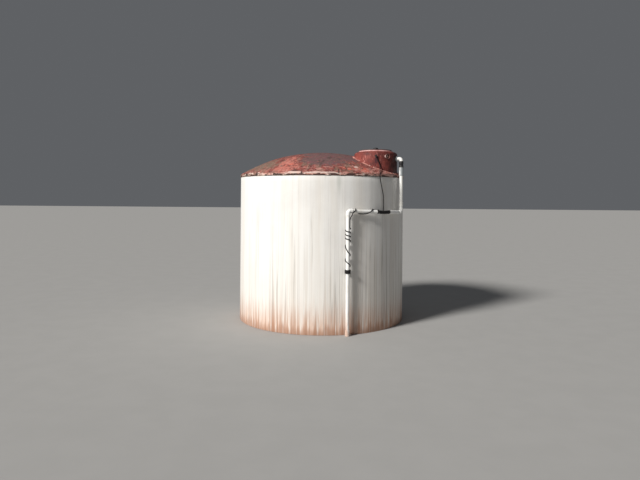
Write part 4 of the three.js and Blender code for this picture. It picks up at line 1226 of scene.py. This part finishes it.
def buildElbow(name, corner, wayA, wayB, kind, node):
    # a ring is drawn in from one socket's mouth, spun round the bend, and drawn out into the other
    body, socket, bore = kind["radius"], kind["socket"], kind["bore"]
    bend, arm = kind["bend"], kind["arm"]
    centre, size = corner + wayA * arm, bore
    clearSelection()
    bpy.ops.mesh.primitive_circle_add(vertices=40, radius=bore, fill_type="NGON", location=centre,
                                      rotation=wayA.to_track_quat("Z", "Y").to_euler())
    piece = rename(bpy.context.object, name)
    bpy.ops.object.transform_apply(location=True, rotation=True, scale=True)
    bpy.ops.object.mode_set(mode="EDIT")
    bpy.ops.mesh.select_all(action="SELECT")

    def grow(way, along, radius):
        nonlocal centre, size
        bpy.ops.mesh.extrude_region_move(TRANSFORM_OT_translate={"value": way * along})
        centre = centre + way * along
        if abs(radius - size) > 1e-7:
            scale = radius / size
            bpy.ops.transform.resize(value=(scale, scale, scale), center_override=centre)
            size = radius

    # each step: how far along, and the radius there
    if kind["lipped"]:
        steps = [(0.0, socket - 0.0015), (0.0015, socket), (0.0055, socket), (0.0006, socket - 0.0012),
                 (arm - bend - 0.0111, socket - 0.0012), (0.0035, body)]
    else:
        steps = [(0.0, socket - 0.0012), (0.0012, socket), (arm - bend - 0.0032, socket), (0.0020, body)]
    for along, radius in steps:
        grow(-wayA, along, radius)
    sideways = (wayB + wayA * -wayA.dot(wayB)).normalized()
    turning = (-wayA).angle(wayB)
    hub = corner + wayA * bend + sideways * bend / math.tan(turning / 2)
    bpy.ops.mesh.spin(steps=12, angle=-turning, center=hub, axis=(-wayA).cross(wayB).normalized())
    centre = corner + wayB * bend
    for i in range(len(steps) - 1, -1, -1):
        grow(wayB, steps[i][0], steps[i - 1][1] if i else bore)
    tidyMesh()
    smooth(piece, 35)
    return dress(piece, pipeFinish, "tank", "white_pipe", node)


def couplingProfile(length):
    # a stop ridge in the middle, and a thicker lip at each mouth
    wide = run["fittingRadius"]
    half = length / 2
    side = [(0, 0), (wide - 0.0025, 0), (wide - 0.0006, 0.0008), (wide, 0.0025), (wide, 0.007),
            (wide - 0.0012, 0.008), (wide - 0.0012, half - 0.004), (wide - 0.0002, half - 0.003)]
    return side + [(radius, length - z) for radius, z in reversed(side)]


buildElbow("inletElbow", inletCorner, down, toNeck, smallElbow, "inlet_elbow")
buildElbow("rightElbow", rightCorner, up, rightWay, cornerElbow, "right_elbow")
buildElbow("leftElbow", leftCorner, down, -leftWay, cornerElbow, "left_elbow")

union = {"length": 0.088, "nutRadius": 0.031, "waist": 0.0265, "coupling": 0.115}
unionFoot = inletCorner - up * (smallElbow["arm"] + hair + union["length"])


def buildUnion():
    long, wide, waist, nut = union["length"], run["fittingRadius"], union["waist"], union["nutRadius"]
    body = [(0, 0), (wide - 0.0015, 0), (wide, 0.0015), (wide, long * 0.28), (wide - 0.0015, long * 0.31),
            (waist, long * 0.33), (waist, long * 0.51), (wide - 0.0015, long * 0.53), (wide, long * 0.55),
            (wide, long - 0.0015), (wide - 0.0015, long), (0, long)]
    hexagon = turned("unionNut", rounded(nut, long * 0.56, long * 0.90, 0.0015), 8, unionFoot)
    softEdge(hexagon, 0.0012)
    return smooth(fuse(turned("pipeUnion", body, 40, unionFoot), hexagon), 30)


dress(buildUnion(), plasticFinish, "tank", "black_plastic", "pipe_union")
couplingFoot = unionFoot - up * (hair + union["coupling"])
upperCoupling = turned("upperCoupling", couplingProfile(union["coupling"]), 40, couplingFoot)
dress(upperCoupling, couplingFinish, "tank", "white_pipe", "upper_coupling")

collar = {"z": 1.712, "length": 0.048, "radius": 0.0295}
overPipe = run["pipeRadius"] + hair


def buildCollar():
    # a sleeve round the riser with a lip at each end
    wide, long = collar["radius"], collar["length"]
    lip = [(overPipe, 0), (wide - 0.0015, 0), (wide, 0.0015), (wide, 0.006), (wide - 0.0011, 0.007)]
    profile = [*lip, *[(radius, long - z) for radius, z in reversed(lip)], lip[0]]
    return turned("riserCollar", profile, 40, Vector((rightCorner.x, rightCorner.y, collar["z"] - long / 2)))


dress(buildCollar(), pipeFinish, "tank", "white_pipe", "riser_collar")

foot = {"length": 0.075}
riserFoot = Vector((leftCorner.x, leftCorner.y, foot["length"]))
buildPipe("upperRiser", couplingFoot, rightCorner + up * cornerElbow["arm"], "upper_riser_pipe")
buildPipe("crossPipeRight", rightCorner + rightWay * cornerElbow["arm"], hoseRight, "cross_pipe_right")
buildPipe("crossPipeLeft", hoseLeft, leftCorner - leftWay * cornerElbow["arm"], "cross_pipe_left")
buildPipe("lowerRiser", leftCorner + down * cornerElbow["arm"], riserFoot, "lower_riser_pipe")
pipeOnGround = Vector((leftCorner.x, leftCorner.y, 0))
footCoupling = turned("footCoupling", couplingProfile(foot["length"]), 40, pipeOnGround)
dress(footCoupling, pipeFinish, "tank", "white_pipe", "foot_coupling")
print("pipes made")


# rubber hose and its clamps

def hoseShare(share):
    # squeezed a little under each clamp, and slightly lumpy
    squeeze = sum(math.exp(-((share - middle) / hose["squeezeWidth"]) ** 2) for middle in hose["clampShares"])
    lump = math.sin(share * hose["lumps"])
    return 1 - hose["lump"] - hose["squeeze"] * squeeze + hose["lump"] * lump


hoseStops = [i / hose["rings"] for i in range(hose["rings"] + 1)]
rubberHose = tube("rubberHose", [hosePoint(stop) for stop in hoseStops], hose["radius"], hose["sides"],
                  [hoseShare(stop) for stop in hoseStops])
dress(rubberHose, hoseFinish, "tank", "black_rubber", "rubber_hose")


clamp = {"width": 0.013, "band": 0.0014, "rolledEdge": 0.0005, "housing": (0.0075, 0.015, 0.0105),
         "screwRadius": 0.0036, "screwLength": 0.0068, "slot": (0.0009, 0.003, 0.008)}


def buildClamp(name, share, node):
    # a band with rolled edges, the screw's housing, and its slotted six-sided head
    inner, half = hose["radius"] + 2 * hair, clamp["width"] / 2
    outer = inner + clamp["band"]
    rolled = outer + clamp["rolledEdge"]
    radius, long = clamp["screwRadius"], clamp["screwLength"]
    profile = [(inner, -half), (outer, -half), (rolled, -half + 0.001), (outer, -half + 0.002),
               (outer, half - 0.002), (rolled, half - 0.001), (outer, half), (inner, half), (inner, -half)]
    band = turned(name, profile, 48)
    housing = softEdge(block(clamp["housing"], (outer + 0.0032, 0, 0)), 0.0015)
    head = [(0, 0), (radius, 0), (radius, long - 0.0008), (radius - 0.0006, long), (0, long)]
    screw = turned("screw", head, 6, (outer + radius, 0.0072, 0), (0, 1, 0))
    cut(screw, block(clamp["slot"], (outer + radius, 0.0072 + long, 0)))
    fuse(band, housing, screw)
    place(band, hosePoint(share), hoseWay(share))
    smooth(band, 30)
    return dress(band, steelFinish, "tank", "clamp_steel", node)


buildClamp("hoseClampRight", hose["clampShares"][0], "hose_clamp_right")
buildClamp("hoseClampLeft", hose["clampShares"][1], "hose_clamp_left")

tape = {"top": 0.860, "length": 0.046, "radius": 0.0395, "turns": 8, "step": 0.0012}


def buildTape():
    # black tape wound over the place where the cable's turns end
    wide, long, turns = tape["radius"], tape["length"], tape["turns"]
    under = wide - tape["step"]
    profile = [(overPipe, 0)]
    for i in range(turns):
        profile += [(under, long * i / turns), (wide - 0.0001 * (i % 3), long * (i + 1) / turns - 0.0008)]
    profile += [(under, long), (overPipe, long), (overPipe, 0)]
    return turned("cableTape", profile, 40, Vector((leftCorner.x, leftCorner.y, tape["top"] - long)))


dress(buildTape(), rubberFinish, "tank", "black_rubber", "cable_tape")
print("hose, clamps and tape made")


# floor, light and background

studio = {"floor": (0.41, 0.405, 0.395), "background": (0.115, 0.120, 0.128), "strength": 1.0,
          "keyPower": 4.4, "keyAngle": 12, "keyAzimuth": -48, "keyElevation": 32,
          "keyColour": (1.0, 0.975, 0.94)}
clearSelection()
bpy.ops.mesh.primitive_plane_add(size=120, location=(0, 30, 0))
ground = rename(bpy.context.object, "studioFloor")
ground.data.materials.clear()
mat = Nodes("studioFloorFinish", 0.9, specular=0.1)
mat.colour = studio["floor"]
mat.layer(mat.range(mat.noise(3, detail=3), 0.3, 0.7), tuple(value * 0.97 for value in studio["floor"]))
ground.data.materials.append(mat.finish())

keyData = bpy.data.lights.new("key", "SUN")
keyData.energy = studio["keyPower"]
keyData.angle = math.radians(studio["keyAngle"])
keyData.color = studio["keyColour"]
key = bpy.data.objects.new("key", keyData)
scene.collection.objects.link(key)
rise = math.radians(studio["keyElevation"])
towards = around(studio["keyAzimuth"], math.cos(rise), math.sin(rise))
key.rotation_euler = towards.to_track_quat("Z", "Y").to_euler()

world = bpy.data.worlds.new("studio")
scene.world = world
world.use_nodes = True
world.node_tree.nodes["Background"].inputs["Color"].default_value = (*studio["background"], 1)
world.node_tree.nodes["Background"].inputs["Strength"].default_value = studio["strength"]
scene.view_settings.view_transform = "Standard"
print("studio made")

bpy.context.view_layer.update()
